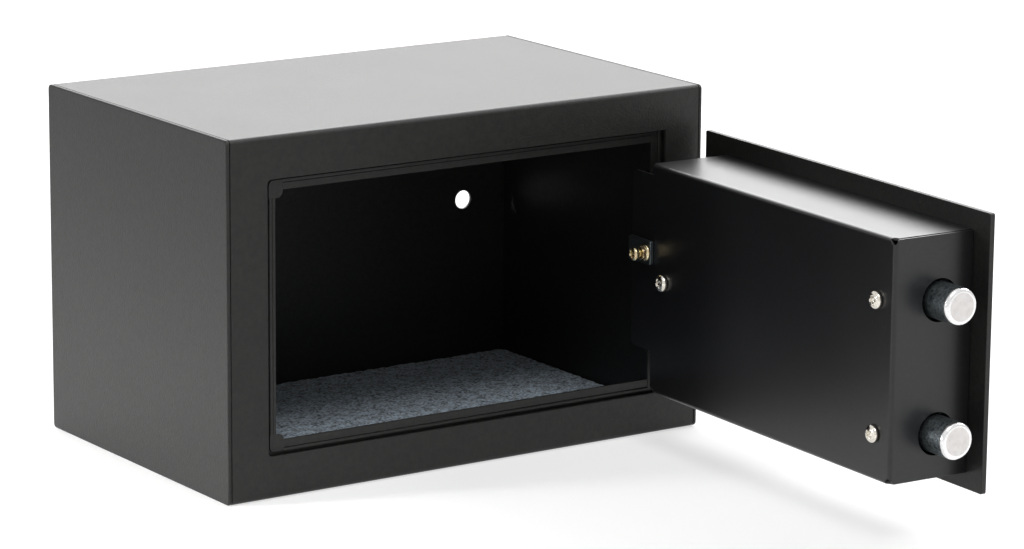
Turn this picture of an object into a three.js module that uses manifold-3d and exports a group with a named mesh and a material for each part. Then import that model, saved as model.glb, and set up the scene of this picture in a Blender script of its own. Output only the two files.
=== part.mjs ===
// Small steel safe with a flush door, a two-bolt lock behind a folded cover, and a concealed hinge.
// Millimetres. X runs to the right, Y into the cabinet, Z up. The door is drawn in its closed place
// and its group is then turned about the hinge pin to the angle at which it stands open.

import * as THREE from "three";
import { mergeVertices } from "three/addons/utils/BufferGeometryUtils.js";
import Module from "manifold-3d";

const wasm = await Module();
wasm.setup();

// Fits
const FIT = 0.3; // between a piece and what it sits on, or a pin and its hole
const SLOT_PLAY = 0.5; // on each side of a crank pin in its slot
const SLIDE_PLAY = 0.4; // on each side of a sliding plate's guide
const PAST = 1; // how far a cutting solid runs past the face it cuts

// Fineness of curves, as steps
const CURVE_STEPS = 6; // in a bend or a corner
const EDGE_STEPS = 3; // across an eased edge
const TURN_STEPS = 32; // round a turned piece
const LARGE_TURN_STEPS = 40;
const SMALL_TURN_STEPS = 24;
const BALL_STEPS = 16;

// Cabinet
const CABINET_WIDTH = 310;
const CABINET_HEIGHT = 198;
const CABINET_DEPTH = 195;
const SHELL_SHEET = 2;
const SHELL_BEND = 3.5;
const SIDE_EDGE_ROUND = 1.4;
const FRAME_SIDE = 25; // front face left on each side of the opening
const FRAME_RAIL = 23.5; // front face left above and below the opening
const OPENING_CORNER = 2.5; // on the free side
const OPENING_HINGE_CORNER = 1.2;
const RECESS_DEPTH = 3.5;
const LEDGE_WIDTH = 7.5;
const LEDGE_SHEET = 1.5;
const CORNER_TAB_BEND = 3.4; // round of a tab's inner corner, about the corner of the ledge
const CORNER_TAB_ROUND = 3.2; // round of its outer corner, looser than the opening's
const CORNER_TAB_SEAM = 0.3;
const REAR_HOLE_DIAMETER = 11;
const REAR_HOLE_FROM_SIDE = 32;
const REAR_HOLE_RISE = 2; // above the middle of the rear
const MAT_THICKNESS = 4;
const MAT_MARGIN = 1;
const MAT_CORNER = 4;

// Door
const DOOR_SHEET = 3;
const DOOR_GAP = 0.9;
const DOOR_HINGE_GAP = 1.8;
const DOOR_CORNER = 1.5;
const DOOR_OPEN_ANGLE = 87.5;

// Hinge
const PIVOT_FROM_SIDE = 9.2;
const PIVOT_DEPTH = 10;
const PIN_DIAMETER = 6;
const PIN_HEAD_DIAMETER = 8.6;
const PIN_HEAD_HEIGHT = 2.5;
const PIN_EASE = 0.8;
const PIN_TAIL = 5;
const CLIP_SHEET = 1;
const CLIP_DIAMETER = 10;
const CLIP_CLEARANCE = 1;
const HINGE_WASHER_SHEET = 1;
const HINGE_WASHER_DIAMETER = 11;
const HINGE_BRACKET_SHEET = 2.5;
const HINGE_BRACKET_BEND = 0.8;
const HINGE_BRACKET_REACH = 14;
const HINGE_BRACKET_DEPTH = 18;
const HINGE_BRACKET_FLANGE = 16;
const ARM_SHEET = 2.5;
const ARM_MARGIN = 8; // tongue left above and below the arm
const ARM_BEND = 1.5;
const ARM_FOOT = 16;
const ARM_RISER_INSET = 22;
const ARM_ELBOW_DEPTH = 20.5;

// Lock cover, a folded pan with a tongue over the hinge arm
const COVER_SHEET = 1.5;
const COVER_BEND = 2.2;
const COVER_DEPTH = 50;
const COVER_HINGE_MARGIN = 24; // door plate left beside the cover
const COVER_FREE_MARGIN = 13.3;
const COVER_RAIL_MARGIN = 9.6; // door plate left above and below the cover, before its rise
const COVER_RISE = -1; // middle of the cover above the middle of the door
const COVER_RELIEF_RADIUS = 1.8;
const TONGUE_LENGTH = 21.5;
const TONGUE_HEIGHT = 100;
const TONGUE_RISE = 8;
const TONGUE_CORNER = 4;
const TONGUE_RELIEF = 2;

// Fasteners
const SCREW_DIAMETER = 5;
const SCREW_HEAD_DIAMETER = 9.6;
const SCREW_HEAD_HEIGHT = 3.2;
const SCREW_LENGTH = 7;
const CROSS_RECESS_WIDTH = 1.2;
const CROSS_RECESS_LENGTH = 5;
const CROSS_RECESS_DEPTH = 1.4;
const PAN_HEAD_OUTLINE = [
  [1, 0.35],
  [0.88, 0.72],
  [0.6, 0.94],
]; // shares of the head's radius and height, from the rim to the crown
const HINGE_SCREW_INSET = 9.5;
const HINGE_SCREW_RISE = 0;
const BOLT_SCREW_INSET = 14.3;
const BOLT_SCREW_RISE = 0.8; // cover screws above the bolts' own heights

// Clamp on the hinge tongue
const CLAMP_PLATE_HEIGHT = 13.5;
const CLAMP_PLATE_SHEET = 2.2;
const CLAMP_RISE = 6; // above the middle of the tongue
const CLAMP_SCREW_INSET = 4.3; // from the cover end of the clamp plate
const CLAMP_SCREW_LENGTH = 15.5;
const CLAMP_HEAD_DIAMETER = 8.2;
const CLAMP_HEAD_HEIGHT = 2.6;
const CLAMP_NUT_FLANGE = 10;
const CLAMP_NUT_FLANGE_HEIGHT = 1.4;
const CLAMP_NUT_FLATS = 7.6;
const CLAMP_NUT_HEIGHT = 3.6;
const CLAMP_STANDOFF = 9.6; // underside of the screw head above the tongue

// Bolts and their carrier
const BOLT_DIAMETER = 20;
const BOLT_CHAMFER = 1.2;
const BOLT_REACH = 18.3;
const BOLT_THROW = 15;
const BOLT_SPACING = 71;
const BOLT_RISE = -6.5; // middle of the pair above the middle of the opening
const BOLT_DEPTH = 20.5;
const BOLT_LENGTH = 55.5;
const BOLT_HOLE_DIAMETER = 23;
const BOLT_TAIL_DIAMETER = 8;
const BOLT_TAIL_LENGTH = 9.5;
const BOLT_NUT_FLATS = 13;
const BOLT_NUT_HEIGHT = 5;
const GUIDE_SHEET = 2;
const GUIDE_BEND = 1;
const GUIDE_WALL_INSET = 27.8;
const GUIDE_FOOT = 20;
const GUIDE_FLANGE = 22;
const GUIDE_MARGIN = 5;
const CARRIER_SHEET = 2.5;
const CARRIER_MARGIN = 3;
const SLIDE_DEPTH = 28.5; // front face of the sliding plates behind the door sheet
const SLIDE_BODY_PAST_KNOB = 8.7;
const SLIDE_BODY_HEIGHT = 40;
const SLIDE_ARM_HEIGHT = 18.5;
const SLIDE_ARM_PAST_LOCK = 14.5;

// Strike behind the free edge of the opening
const STRIKE_SHEET = 1.5;
const STRIKE_FLANGE = 13.5;
const STRIKE_BEND = 0.4;

// Turning knob and its crank
const KNOB_FROM_FREE_END = 80.8; // from the cover's free end
const KNOB_DIAMETER = 36;
const KNOB_HEIGHT = 20;
const KNOB_FLUTES = 12;
const KNOB_FLUTE_STEPS = 8;
const KNOB_FLUTE_DEPTH = 1.3;
const KNOB_EDGE = 1.5;
const KNOB_STANDOFF = 0.5;
const KNOB_BORE_DEPTH = 15;
const ROSE_DIAMETER = 40;
const ROSE_HEIGHT = 1.5;
const SHAFT_DIAMETER = 8;
const BUSH_DIAMETER = 13;
const BUSH_FLANGE_DIAMETER = 18;
const BUSH_FLANGE_HEIGHT = 3;
const BUSH_LENGTH = 11;
const CRANK_SHEET = 3;
const CRANK_BOSS_DIAMETER = 16;
const CRANK_PIN_DIAMETER = 5;
const CRANK_TURN = 90;
const CRANK_TIP_MARGIN = 2.5;

// Key lock
const LOCK_FROM_HINGE_END = 69.2; // from the cover's hinge end
const LOCK_BARREL_DIAMETER = 19;
const LOCK_FLANGE_DIAMETER = 25;
const LOCK_FLANGE_HEIGHT = 2;
const LOCK_FLANGE_CHAMFER = 1;
const LOCK_BARREL_DEPTH = 24;
const LOCK_PLUG_DIAMETER = 13;
const LOCK_PLUG_PROUD = 0.4;
const LOCK_TAIL_DIAMETER = 8;
const LOCK_NUT_FLATS = 22;
const LOCK_NUT_HEIGHT = 4;
const KEYWAY_WIDTH = 1.8;
const KEYWAY_HEIGHT = 8.5;
const KEYWAY_DEPTH = 20;
const LOCK_CAM_SHEET = 2;
const LOCK_PIN_DIAMETER = 4;
const LOCK_PIN_MARGIN = 1.6;
const DEAD_TRAVEL = 8;
const DEAD_LENGTH = 50;
const DEAD_HEIGHT = 24;
const DEAD_TONGUE_WIDTH = 6;
const DEAD_TONGUE_HEIGHT = 8.5;
const DEAD_TONGUE_LEAD = 1; // below the carrier's arm when drawn back

// Guide studs of the two sliding plates
const STUD_SHOULDER_DIAMETER = 9;
const STUD_DIAMETER = 5;
const STUD_HEAD_HEIGHT = 1.8;
const STUD_END_MARGIN = 3.5;

// Worked-out places on the cabinet
const shellInnerWidth = CABINET_WIDTH - 2 * SHELL_SHEET;
const openingMiddle = CABINET_HEIGHT / 2;
const openingSide = CABINET_WIDTH / 2 - FRAME_SIDE;
const openingTop = CABINET_HEIGHT - FRAME_RAIL;
const openingBottom = FRAME_RAIL;
const cornerTabReach = LEDGE_WIDTH + CORNER_TAB_BEND;
const ledgeFront = RECESS_DEPTH;
const ledgeBack = RECESS_DEPTH + LEDGE_SHEET;
const ledgeSide = openingSide - LEDGE_WIDTH;
const ledgeTop = openingTop - LEDGE_WIDTH;
const ledgeBottom = openingBottom + LEDGE_WIDTH;

// Worked-out places on the closed door
const pivotX = CABINET_WIDTH / 2 - PIVOT_FROM_SIDE;
const pivotY = PIVOT_DEPTH;
const doorHinge = openingSide - DOOR_HINGE_GAP;
const doorFree = -(openingSide - DOOR_GAP);
const doorTop = openingTop - DOOR_GAP;
const doorBottom = openingBottom + DOOR_GAP;
const seat = DOOR_SHEET + FIT; // lowest depth of a piece that sits on the inside of the door
const coverHinge = doorHinge - COVER_HINGE_MARGIN;
const coverFree = doorFree + COVER_FREE_MARGIN;
const coverBack = DOOR_SHEET + COVER_DEPTH;
const coverBackInner = coverBack - COVER_SHEET;
const coverMiddle = openingMiddle + COVER_RISE;
const coverTop = doorTop - COVER_RAIL_MARGIN + COVER_RISE;
const coverBottom = doorBottom + COVER_RAIL_MARGIN + COVER_RISE;
const tongueEnd = coverHinge + TONGUE_LENGTH;
const tongueMiddle = openingMiddle + TONGUE_RISE;
const tongueTop = tongueMiddle + TONGUE_HEIGHT / 2;
const tongueBottom = tongueMiddle - TONGUE_HEIGHT / 2;
const hingeArmTop = tongueTop - ARM_MARGIN;
const hingeArmBottom = tongueBottom + ARM_MARGIN;
const boltAxisY = DOOR_SHEET + BOLT_DEPTH;
const boltMiddle = openingMiddle + BOLT_RISE;
const boltHeights = { top: boltMiddle + BOLT_SPACING / 2, bottom: boltMiddle - BOLT_SPACING / 2 };
const boltEnd = coverFree - BOLT_REACH;
const boltShoulder = boltEnd + BOLT_LENGTH;
const guideTop = boltHeights.top + BOLT_DIAMETER / 2 + GUIDE_MARGIN;
const guideBottom = boltHeights.bottom - BOLT_DIAMETER / 2 - GUIDE_MARGIN;
const carrierFront = boltShoulder + FIT;
const carrierBack = carrierFront + CARRIER_SHEET;
const slideFront = DOOR_SHEET + SLIDE_DEPTH;
const slideBack = slideFront + CARRIER_SHEET;
const crankRadius = BOLT_THROW / 2 / Math.sin(THREE.MathUtils.degToRad(CRANK_TURN / 2));
const crankLift = crankRadius * Math.cos(THREE.MathUtils.degToRad(CRANK_TURN / 2));
const camRadius = DEAD_TRAVEL / 2 / Math.sin(THREE.MathUtils.degToRad(CRANK_TURN / 2));
const camReach = camRadius * Math.cos(THREE.MathUtils.degToRad(CRANK_TURN / 2));
const knobX = coverFree + KNOB_FROM_FREE_END;
const lockX = coverHinge - LOCK_FROM_HINGE_END;
const lockBarrelBack = DOOR_SHEET + LOCK_BARREL_DEPTH;
const slideBodyTop = openingMiddle + SLIDE_BODY_HEIGHT / 2;
const slideBodyBottom = openingMiddle - SLIDE_BODY_HEIGHT / 2;
const armBottom = openingMiddle + DEAD_HEIGHT / 2 + DEAD_TONGUE_HEIGHT - DEAD_TRAVEL / 2 + DEAD_TONGUE_LEAD;
const armTop = armBottom + SLIDE_ARM_HEIGHT;
const armEnd = lockX + SLIDE_ARM_PAST_LOCK;
const screwSeat = coverBack + FIT;

// Finishes, as colour, roughness and metalness
function finish(color, roughness, metalness) {
  return () => new THREE.MeshStandardMaterial({ color, roughness, metalness });
}
const blackPowder = finish(0x2b2b2c, 0.55, 0.2);
const blackCover = finish(0x1c1c1d, 0.5, 0.2);
const nickel = finish(0xd9d4c8, 0.25, 1);
const chrome = finish(0xd8d8d8, 0.15, 1);
const zinc = finish(0x8d969a, 0.4, 1);
const yellowZinc = finish(0xc8962e, 0.3, 1);
const brightSteel = finish(0x9a9c9e, 0.4, 1);
const brass = finish(0xb08d4a, 0.35, 1);
const greyFelt = finish(0x565c61, 0.95, 0);
const blackPlastic = finish(0x151516, 0.45, 0);

// Solids: three.js geometry in, manifold solid through the cuts, three.js mesh out
function toSolid(geometry) {
  const bare = geometry.clone();
  bare.deleteAttribute("normal");
  bare.deleteAttribute("uv");
  const merged = mergeVertices(bare, 1e-4);
  return new wasm.Manifold(
    new wasm.Mesh({
      numProp: 3,
      vertProperties: new Float32Array(merged.attributes.position.array),
      triVerts: new Uint32Array(merged.index.array),
    }),
  );
}

function toMesh(name, solid, material) {
  const data = solid.getMesh();
  const geometry = new THREE.BufferGeometry();
  geometry.setAttribute("position", new THREE.BufferAttribute(new Float32Array(data.vertProperties), 3));
  geometry.setIndex(new THREE.BufferAttribute(new Uint32Array(data.triVerts), 1));
  geometry.computeVertexNormals();
  const mesh = new THREE.Mesh(geometry, material());
  mesh.name = name;
  return mesh;
}

function unite(solids) {
  return solids.reduce((sum, next) => sum.add(next));
}

function cut(solid, tools) {
  return tools.reduce((rest, tool) => rest.subtract(tool), solid);
}

// A block between two corners
function block([x0, y0, z0], [x1, y1, z1]) {
  const geometry = new THREE.BoxGeometry(x1 - x0, y1 - y0, z1 - z0);
  geometry.translate((x0 + x1) / 2, (y0 + y1) / 2, (z0 + z1) / 2);
  return toSolid(geometry);
}

// A rectangle with its own radius at each corner, from the lower left round against the clock
function roundedRectangle(a0, b0, a1, b1, radii) {
  const [r00, r10, r11, r01] = radii;
  const shape = new THREE.Shape();
  shape.moveTo(a0 + r00, b0);
  shape.lineTo(a1 - r10, b0);
  if (r10 > 0) shape.absarc(a1 - r10, b0 + r10, r10, -Math.PI / 2, 0);
  shape.lineTo(a1, b1 - r11);
  if (r11 > 0) shape.absarc(a1 - r11, b1 - r11, r11, 0, Math.PI / 2);
  shape.lineTo(a0 + r01, b1);
  if (r01 > 0) shape.absarc(a0 + r01, b1 - r01, r01, Math.PI / 2, Math.PI);
  shape.lineTo(a0, b0 + r00);
  if (r00 > 0) shape.absarc(a0 + r00, b0 + r00, r00, Math.PI, 1.5 * Math.PI);
  return shape;
}

function prism(shape, height, curveSegments = CURVE_STEPS) {
  return new THREE.ExtrudeGeometry(shape, { depth: height, bevelEnabled: false, curveSegments });
}

// Drawn in X and Y, standing along Z
function prismZ(shape, z0, z1, curveSegments) {
  return toSolid(prism(shape, z1 - z0, curveSegments).translate(0, 0, z0));
}

// Drawn in Y and Z, lying along X
const yzToX = new THREE.Matrix4().makeBasis(
  new THREE.Vector3(0, 1, 0),
  new THREE.Vector3(0, 0, 1),
  new THREE.Vector3(1, 0, 0),
);
function prismX(shape, x0, x1, curveSegments) {
  return toSolid(prism(shape, x1 - x0, curveSegments).applyMatrix4(yzToX).translate(x0, 0, 0));
}

// Drawn in X and Z, lying along Y
const xzToY = new THREE.Matrix4().makeBasis(
  new THREE.Vector3(1, 0, 0),
  new THREE.Vector3(0, 0, 1),
  new THREE.Vector3(0, -1, 0),
);
function prismY(shape, y0, y1, curveSegments) {
  return toSolid(prism(shape, y1 - y0, curveSegments).applyMatrix4(xzToY).translate(0, y1, 0));
}

// Turned pieces: the profile gives radius and place along the axis
function turned(profile, steps) {
  const points = profile.map(([radius, along]) => new THREE.Vector2(radius, along));
  return new THREE.LatheGeometry(points, steps);
}

function turnedX(profile, y, z, steps = TURN_STEPS) {
  return toSolid(turned(profile, steps).rotateZ(-Math.PI / 2).translate(0, y, z));
}

function turnedY(profile, x, z, steps = TURN_STEPS) {
  return toSolid(turned(profile, steps).translate(x, 0, z));
}

function turnedZ(profile, x, y, steps = TURN_STEPS) {
  return toSolid(turned(profile, steps).rotateX(Math.PI / 2).translate(x, y, 0));
}

function rod(radius, from, to) {
  return [
    [0, from],
    [radius, from],
    [radius, to],
    [0, to],
  ];
}

function tube(inner, outer, from, to) {
  return [
    [inner, from],
    [outer, from],
    [outer, to],
    [inner, to],
    [inner, from],
  ];
}

function hexagon(flats, x, z) {
  const corner = flats / 2 / Math.cos(Math.PI / 6);
  const shape = new THREE.Shape();
  for (let i = 0; i < 6; i += 1) {
    const turn = (i * Math.PI) / 3;
    const method = i === 0 ? "moveTo" : "lineTo";
    shape[method](x + corner * Math.cos(turn), z + corner * Math.sin(turn));
  }
  shape.closePath();
  return shape;
}

// A folded strip of sheet: its middle line is a run of straight legs joined by bends
function foldedStrip(corners, sheet, insideBend) {
  const points = corners.map(([a, b]) => new THREE.Vector2(a, b));
  const bendRadius = insideBend + sheet / 2;
  const middle = [points[0]];
  for (let i = 1; i < points.length - 1; i += 1) {
    const into = points[i].clone().sub(points[i - 1]).normalize();
    const out = points[i + 1].clone().sub(points[i]).normalize();
    const turn = Math.atan2(into.cross(out), into.dot(out));
    const setback = bendRadius * Math.tan(Math.abs(turn) / 2);
    const start = points[i].clone().addScaledVector(into, -setback);
    const side = new THREE.Vector2(-into.y, into.x).multiplyScalar(Math.sign(turn));
    const centre = start.clone().addScaledVector(side, bendRadius);
    for (let step = 0; step <= CURVE_STEPS; step += 1) {
      const spoke = start.clone().sub(centre);
      spoke.rotateAround(new THREE.Vector2(0, 0), (turn * step) / CURVE_STEPS);
      middle.push(centre.clone().add(spoke));
    }
  }
  middle.push(points[points.length - 1]);
  const normals = middle.map((point, i) => {
    const before = middle[Math.max(i - 1, 0)];
    const after = middle[Math.min(i + 1, middle.length - 1)];
    const along = after.clone().sub(before).normalize();
    return new THREE.Vector2(-along.y, along.x);
  });
  const left = middle.map((point, i) => point.clone().addScaledVector(normals[i], sheet / 2));
  const right = middle.map((point, i) => point.clone().addScaledVector(normals[i], -sheet / 2));
  return new THREE.Shape([...right, ...left.reverse()]);
}

// A square plate in a free-side corner of the opening, its sides drawn from that corner inwards
function cornerPlate(up, reach, radii, y0, y1) {
  const shape = roundedRectangle(0, 0, reach, reach, radii);
  const place = new THREE.Matrix4().makeBasis(
    new THREE.Vector3(1, 0, 0),
    new THREE.Vector3(0, 0, -up),
    new THREE.Vector3(0, up, 0),
  );
  const geometry = prism(shape, y1 - y0).applyMatrix4(place);
  const startY = up > 0 ? y0 : y1;
  return toSolid(geometry.translate(-openingSide, startY, up > 0 ? openingTop : openingBottom));
}

// Cabinet: front, top, back and bottom are one folded wrap, with the opening's edges folded back
function cabinetWrap() {
  const half = shellInnerWidth / 2;
  const innerBend = SHELL_BEND - SHELL_SHEET;
  const outside = roundedRectangle(0, 0, CABINET_DEPTH, CABINET_HEIGHT, Array(4).fill(SHELL_BEND));
  const inside = roundedRectangle(
    SHELL_SHEET,
    SHELL_SHEET,
    CABINET_DEPTH - SHELL_SHEET,
    CABINET_HEIGHT - SHELL_SHEET,
    Array(4).fill(innerBend),
  );
  const shell = prismX(outside, -half, half).subtract(prismX(inside, -half - PAST, half + PAST));
  const returnSide = openingSide + LEDGE_SHEET;
  const frame = block(
    [-returnSide, SHELL_SHEET, openingBottom - LEDGE_SHEET],
    [returnSide, ledgeBack, openingTop + LEDGE_SHEET],
  );
  const rounds = [OPENING_CORNER, OPENING_HINGE_CORNER, OPENING_HINGE_CORNER, OPENING_CORNER];
  const outline = roundedRectangle(-openingSide, openingBottom, openingSide, openingTop, rounds);
  const doorway = prismY(outline, -PAST, ledgeFront);
  const mouth = block([-ledgeSide, -PAST, ledgeBottom], [ledgeSide, ledgeBack + PAST, ledgeTop]);
  const tabPlaces = [-1, 1].map((up) =>
    cornerPlate(up, cornerTabReach, [OPENING_CORNER, 0, 0, 0], ledgeFront - PAST, ledgeBack + PAST),
  );
  const rearHoles = [-1, 1].map((side) =>
    turnedY(
      rod(REAR_HOLE_DIAMETER / 2, CABINET_DEPTH - SHELL_SHEET - PAST, CABINET_DEPTH + PAST),
      side * (CABINET_WIDTH / 2 - REAR_HOLE_FROM_SIDE),
      openingMiddle + REAR_HOLE_RISE,
    ),
  );
  const folded = cut(shell.add(frame), [doorway]);
  return toMesh("cabinet_wrap", cut(folded, [mouth, ...tabPlaces, ...rearHoles]), blackPowder);
}

// Side panels close the ends of the wrap, with their outer edges eased
function sidePanel(name, side) {
  const round = SIDE_EDGE_ROUND;
  const shape = roundedRectangle(
    round,
    round,
    CABINET_DEPTH - round,
    CABINET_HEIGHT - round,
    Array(4).fill(SHELL_BEND - round),
  );
  const geometry = new THREE.ExtrudeGeometry(shape, {
    depth: SHELL_SHEET,
    bevelEnabled: true,
    bevelSize: round,
    bevelThickness: round,
    bevelSegments: EDGE_STEPS,
    curveSegments: CURVE_STEPS,
  });
  geometry.applyMatrix4(yzToX);
  const flat = shellInnerWidth / 2;
  const outer = CABINET_WIDTH / 2;
  geometry.translate(side > 0 ? outer - SHELL_SHEET - round : -outer + round, 0, 0);
  const from = side > 0 ? flat : -outer;
  const to = side > 0 ? outer : -flat;
  const slab = block([from, 0, 0], [to, CABINET_DEPTH, CABINET_HEIGHT]);
  return toMesh(name, toSolid(geometry).intersect(slab), blackPowder);
}

// Corner tabs close the ledge's free-side corners: squares with a wide round towards the opening
function cornerTab(name, up) {
  const reach = cornerTabReach - CORNER_TAB_SEAM;
  const radii = [CORNER_TAB_ROUND, 0, CORNER_TAB_BEND - CORNER_TAB_SEAM, 0];
  return toMesh(name, cornerPlate(up, reach, radii, ledgeFront, ledgeBack), blackPowder);
}

// Strike channel behind the free side of the opening, where the thrown bolts catch
function strikeChannel() {
  const inner = -ledgeSide - STRIKE_SHEET / 2;
  const outer = inner - STRIKE_FLANGE;
  const front = ledgeBack + STRIKE_SHEET / 2;
  const back = boltAxisY - BOLT_DIAMETER / 2 - FIT - STRIKE_SHEET / 2;
  const shape = foldedStrip(
    [
      [-openingSide, front],
      [inner, front],
      [inner, back],
      [outer, back],
    ],
    STRIKE_SHEET,
    STRIKE_BEND,
  );
  return toMesh("strike_channel", prismZ(shape, guideBottom, guideTop), blackPowder);
}

// Felt mat on the cabinet floor
function floorMat() {
  const side = shellInnerWidth / 2 - MAT_MARGIN;
  const shape = roundedRectangle(
    -side,
    SHELL_SHEET + MAT_MARGIN,
    side,
    CABINET_DEPTH - SHELL_SHEET - MAT_MARGIN,
    Array(4).fill(MAT_CORNER),
  );
  const floor = SHELL_SHEET + FIT;
  return toMesh("floor_mat", prismZ(shape, floor, floor + MAT_THICKNESS), greyFelt);
}

// Hinge brackets are angles welded behind the front, above and below the arm's knuckle
const knuckleTopGap = FIT;
const knuckleBottomGap = 2 * FIT + HINGE_WASHER_SHEET;
const pinHoleRadius = PIN_DIAMETER / 2 + FIT;

function hingeBracket(name, up) {
  const face = up > 0 ? hingeArmTop + knuckleTopGap : hingeArmBottom - knuckleBottomGap;
  const wall = shellInnerWidth / 2;
  const shape = foldedStrip(
    [
      [SHELL_SHEET + HINGE_BRACKET_DEPTH, face + (up * HINGE_BRACKET_SHEET) / 2],
      [SHELL_SHEET + HINGE_BRACKET_SHEET / 2, face + (up * HINGE_BRACKET_SHEET) / 2],
      [SHELL_SHEET + HINGE_BRACKET_SHEET / 2, face + up * HINGE_BRACKET_FLANGE],
    ],
    HINGE_BRACKET_SHEET,
    HINGE_BRACKET_BEND,
  );
  const angle = prismX(shape, wall - HINGE_BRACKET_REACH, wall);
  const reach = HINGE_BRACKET_SHEET + PAST;
  const hole = turnedZ(rod(pinHoleRadius, face - reach, face + reach), pivotX, pivotY);
  return toMesh(name, angle.subtract(hole), blackPowder);
}

// Hinge pin: it floats in the brackets and in the arm's knuckle
function hingePin() {
  const top = hingeArmTop + knuckleTopGap + HINGE_BRACKET_SHEET + FIT;
  const bottom = hingeArmBottom - knuckleBottomGap - HINGE_BRACKET_SHEET - PIN_TAIL;
  const radius = PIN_DIAMETER / 2;
  const head = PIN_HEAD_DIAMETER / 2;
  const profile = [
    [0, bottom],
    [radius - PIN_EASE, bottom],
    [radius, bottom + PIN_EASE],
    [radius, top],
    [head, top],
    [head, top + PIN_HEAD_HEIGHT - PIN_EASE],
    [head - PIN_EASE, top + PIN_HEAD_HEIGHT],
    [0, top + PIN_HEAD_HEIGHT],
  ];
  return toMesh("hinge_pin", turnedZ(profile, pivotX, pivotY), brightSteel);
}

function pinClip() {
  const top = hingeArmBottom - knuckleBottomGap - HINGE_BRACKET_SHEET - CLIP_CLEARANCE / 2;
  const ring = tube(pinHoleRadius, CLIP_DIAMETER / 2, top - CLIP_SHEET, top);
  return toMesh("pin_clip", turnedZ(ring, pivotX, pivotY), brightSteel);
}

function hingeWasher() {
  const top = hingeArmBottom - FIT;
  const ring = tube(pinHoleRadius, HINGE_WASHER_DIAMETER / 2, top - HINGE_WASHER_SHEET, top);
  return toMesh("hinge_washer", turnedZ(ring, pivotX, pivotY), brass);
}

// Screw places on the back of the cover
const hingeScrew = [coverHinge - HINGE_SCREW_INSET, coverMiddle + HINGE_SCREW_RISE];
const boltScrewX = coverFree + BOLT_SCREW_INSET;
const coverScrews = {
  cover_screw_hinge: hingeScrew,
  cover_screw_top: [boltScrewX, boltHeights.top + BOLT_SCREW_RISE],
  cover_screw_bottom: [boltScrewX, boltHeights.bottom + BOLT_SCREW_RISE],
};
const clampScrew = [coverHinge + CLAMP_SCREW_INSET, tongueMiddle + CLAMP_RISE];
const screwHole = SCREW_DIAMETER / 2 + FIT;

function screwHoleAt([x, z], from, to) {
  return turnedY(rod(screwHole, from, to), x, z);
}

// Door plate, flush in the opening, drilled for the knob's bush and the lock barrel
function doorPlate() {
  const shape = roundedRectangle(doorFree, doorBottom, doorHinge, doorTop, Array(4).fill(DOOR_CORNER));
  const through = [-PAST, DOOR_SHEET + PAST];
  const bushHole = turnedY(rod(BUSH_DIAMETER / 2 + FIT, ...through), knobX, openingMiddle);
  const barrelHole = turnedY(rod(LOCK_BARREL_DIAMETER / 2 + FIT, ...through), lockX, openingMiddle);
  const plate = prismY(shape, 0, DOOR_SHEET);
  return toMesh("door_plate", cut(plate, [bushHole, barrelHole]), blackPowder);
}

// Lock cover: a pan folded from one sheet, its hinge side carried on as a tongue over the arm
function pan(inset, open) {
  const bend = COVER_BEND - inset;
  const x0 = coverFree + inset;
  const x1 = coverHinge - inset;
  const z0 = coverBottom + inset;
  const z1 = coverTop - inset;
  const back = coverBack - inset;
  const across = roundedRectangle(open, z0, back, z1, [0, bend, bend, 0]);
  const along = roundedRectangle(x0, open, x1, back, [0, 0, bend, bend]);
  return prismX(across, x0, x1).intersect(prismZ(along, z0, z1));
}

function lockCover() {
  const hollow = pan(COVER_SHEET, seat - PAST);
  const armWay = block(
    [coverHinge - COVER_BEND, seat - PAST, tongueBottom],
    [coverHinge + PAST, coverBackInner, tongueTop],
  );
  const tongueShape = roundedRectangle(
    coverHinge - 2 * COVER_BEND,
    tongueBottom,
    tongueEnd,
    tongueTop,
    [0, TONGUE_CORNER, TONGUE_CORNER, 0],
  );
  const tongue = prismY(tongueShape, coverBackInner, coverBack);
  const reliefs = [tongueTop, tongueBottom - TONGUE_RELIEF].map((z) =>
    block(
      [coverHinge - COVER_BEND, coverBackInner - COVER_BEND, z],
      [coverHinge + PAST, coverBack + PAST, z + TONGUE_RELIEF],
    ),
  );
  const boltHoles = Object.values(boltHeights).map((z) =>
    turnedX(rod(BOLT_HOLE_DIAMETER / 2, coverFree - PAST, coverFree + COVER_BEND), boltAxisY, z),
  );
  const cornerReliefs = [coverBottom, coverTop].map((z) => {
    const ball = new THREE.SphereGeometry(COVER_RELIEF_RADIUS, BALL_STEPS, BALL_STEPS);
    return toSolid(ball.translate(coverFree, coverBack, z));
  });
  const screwPlaces = [...Object.values(coverScrews), clampScrew];
  const holes = screwPlaces.map((place) => screwHoleAt(place, coverBackInner - PAST, coverBack + PAST));
  const folded = cut(pan(0, seat), [hollow, armWay]).add(tongue);
  const cover = cut(folded, [...reliefs, ...boltHoles, ...cornerReliefs, ...holes]);
  return toMesh("lock_cover", cover, blackCover);
}

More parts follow.
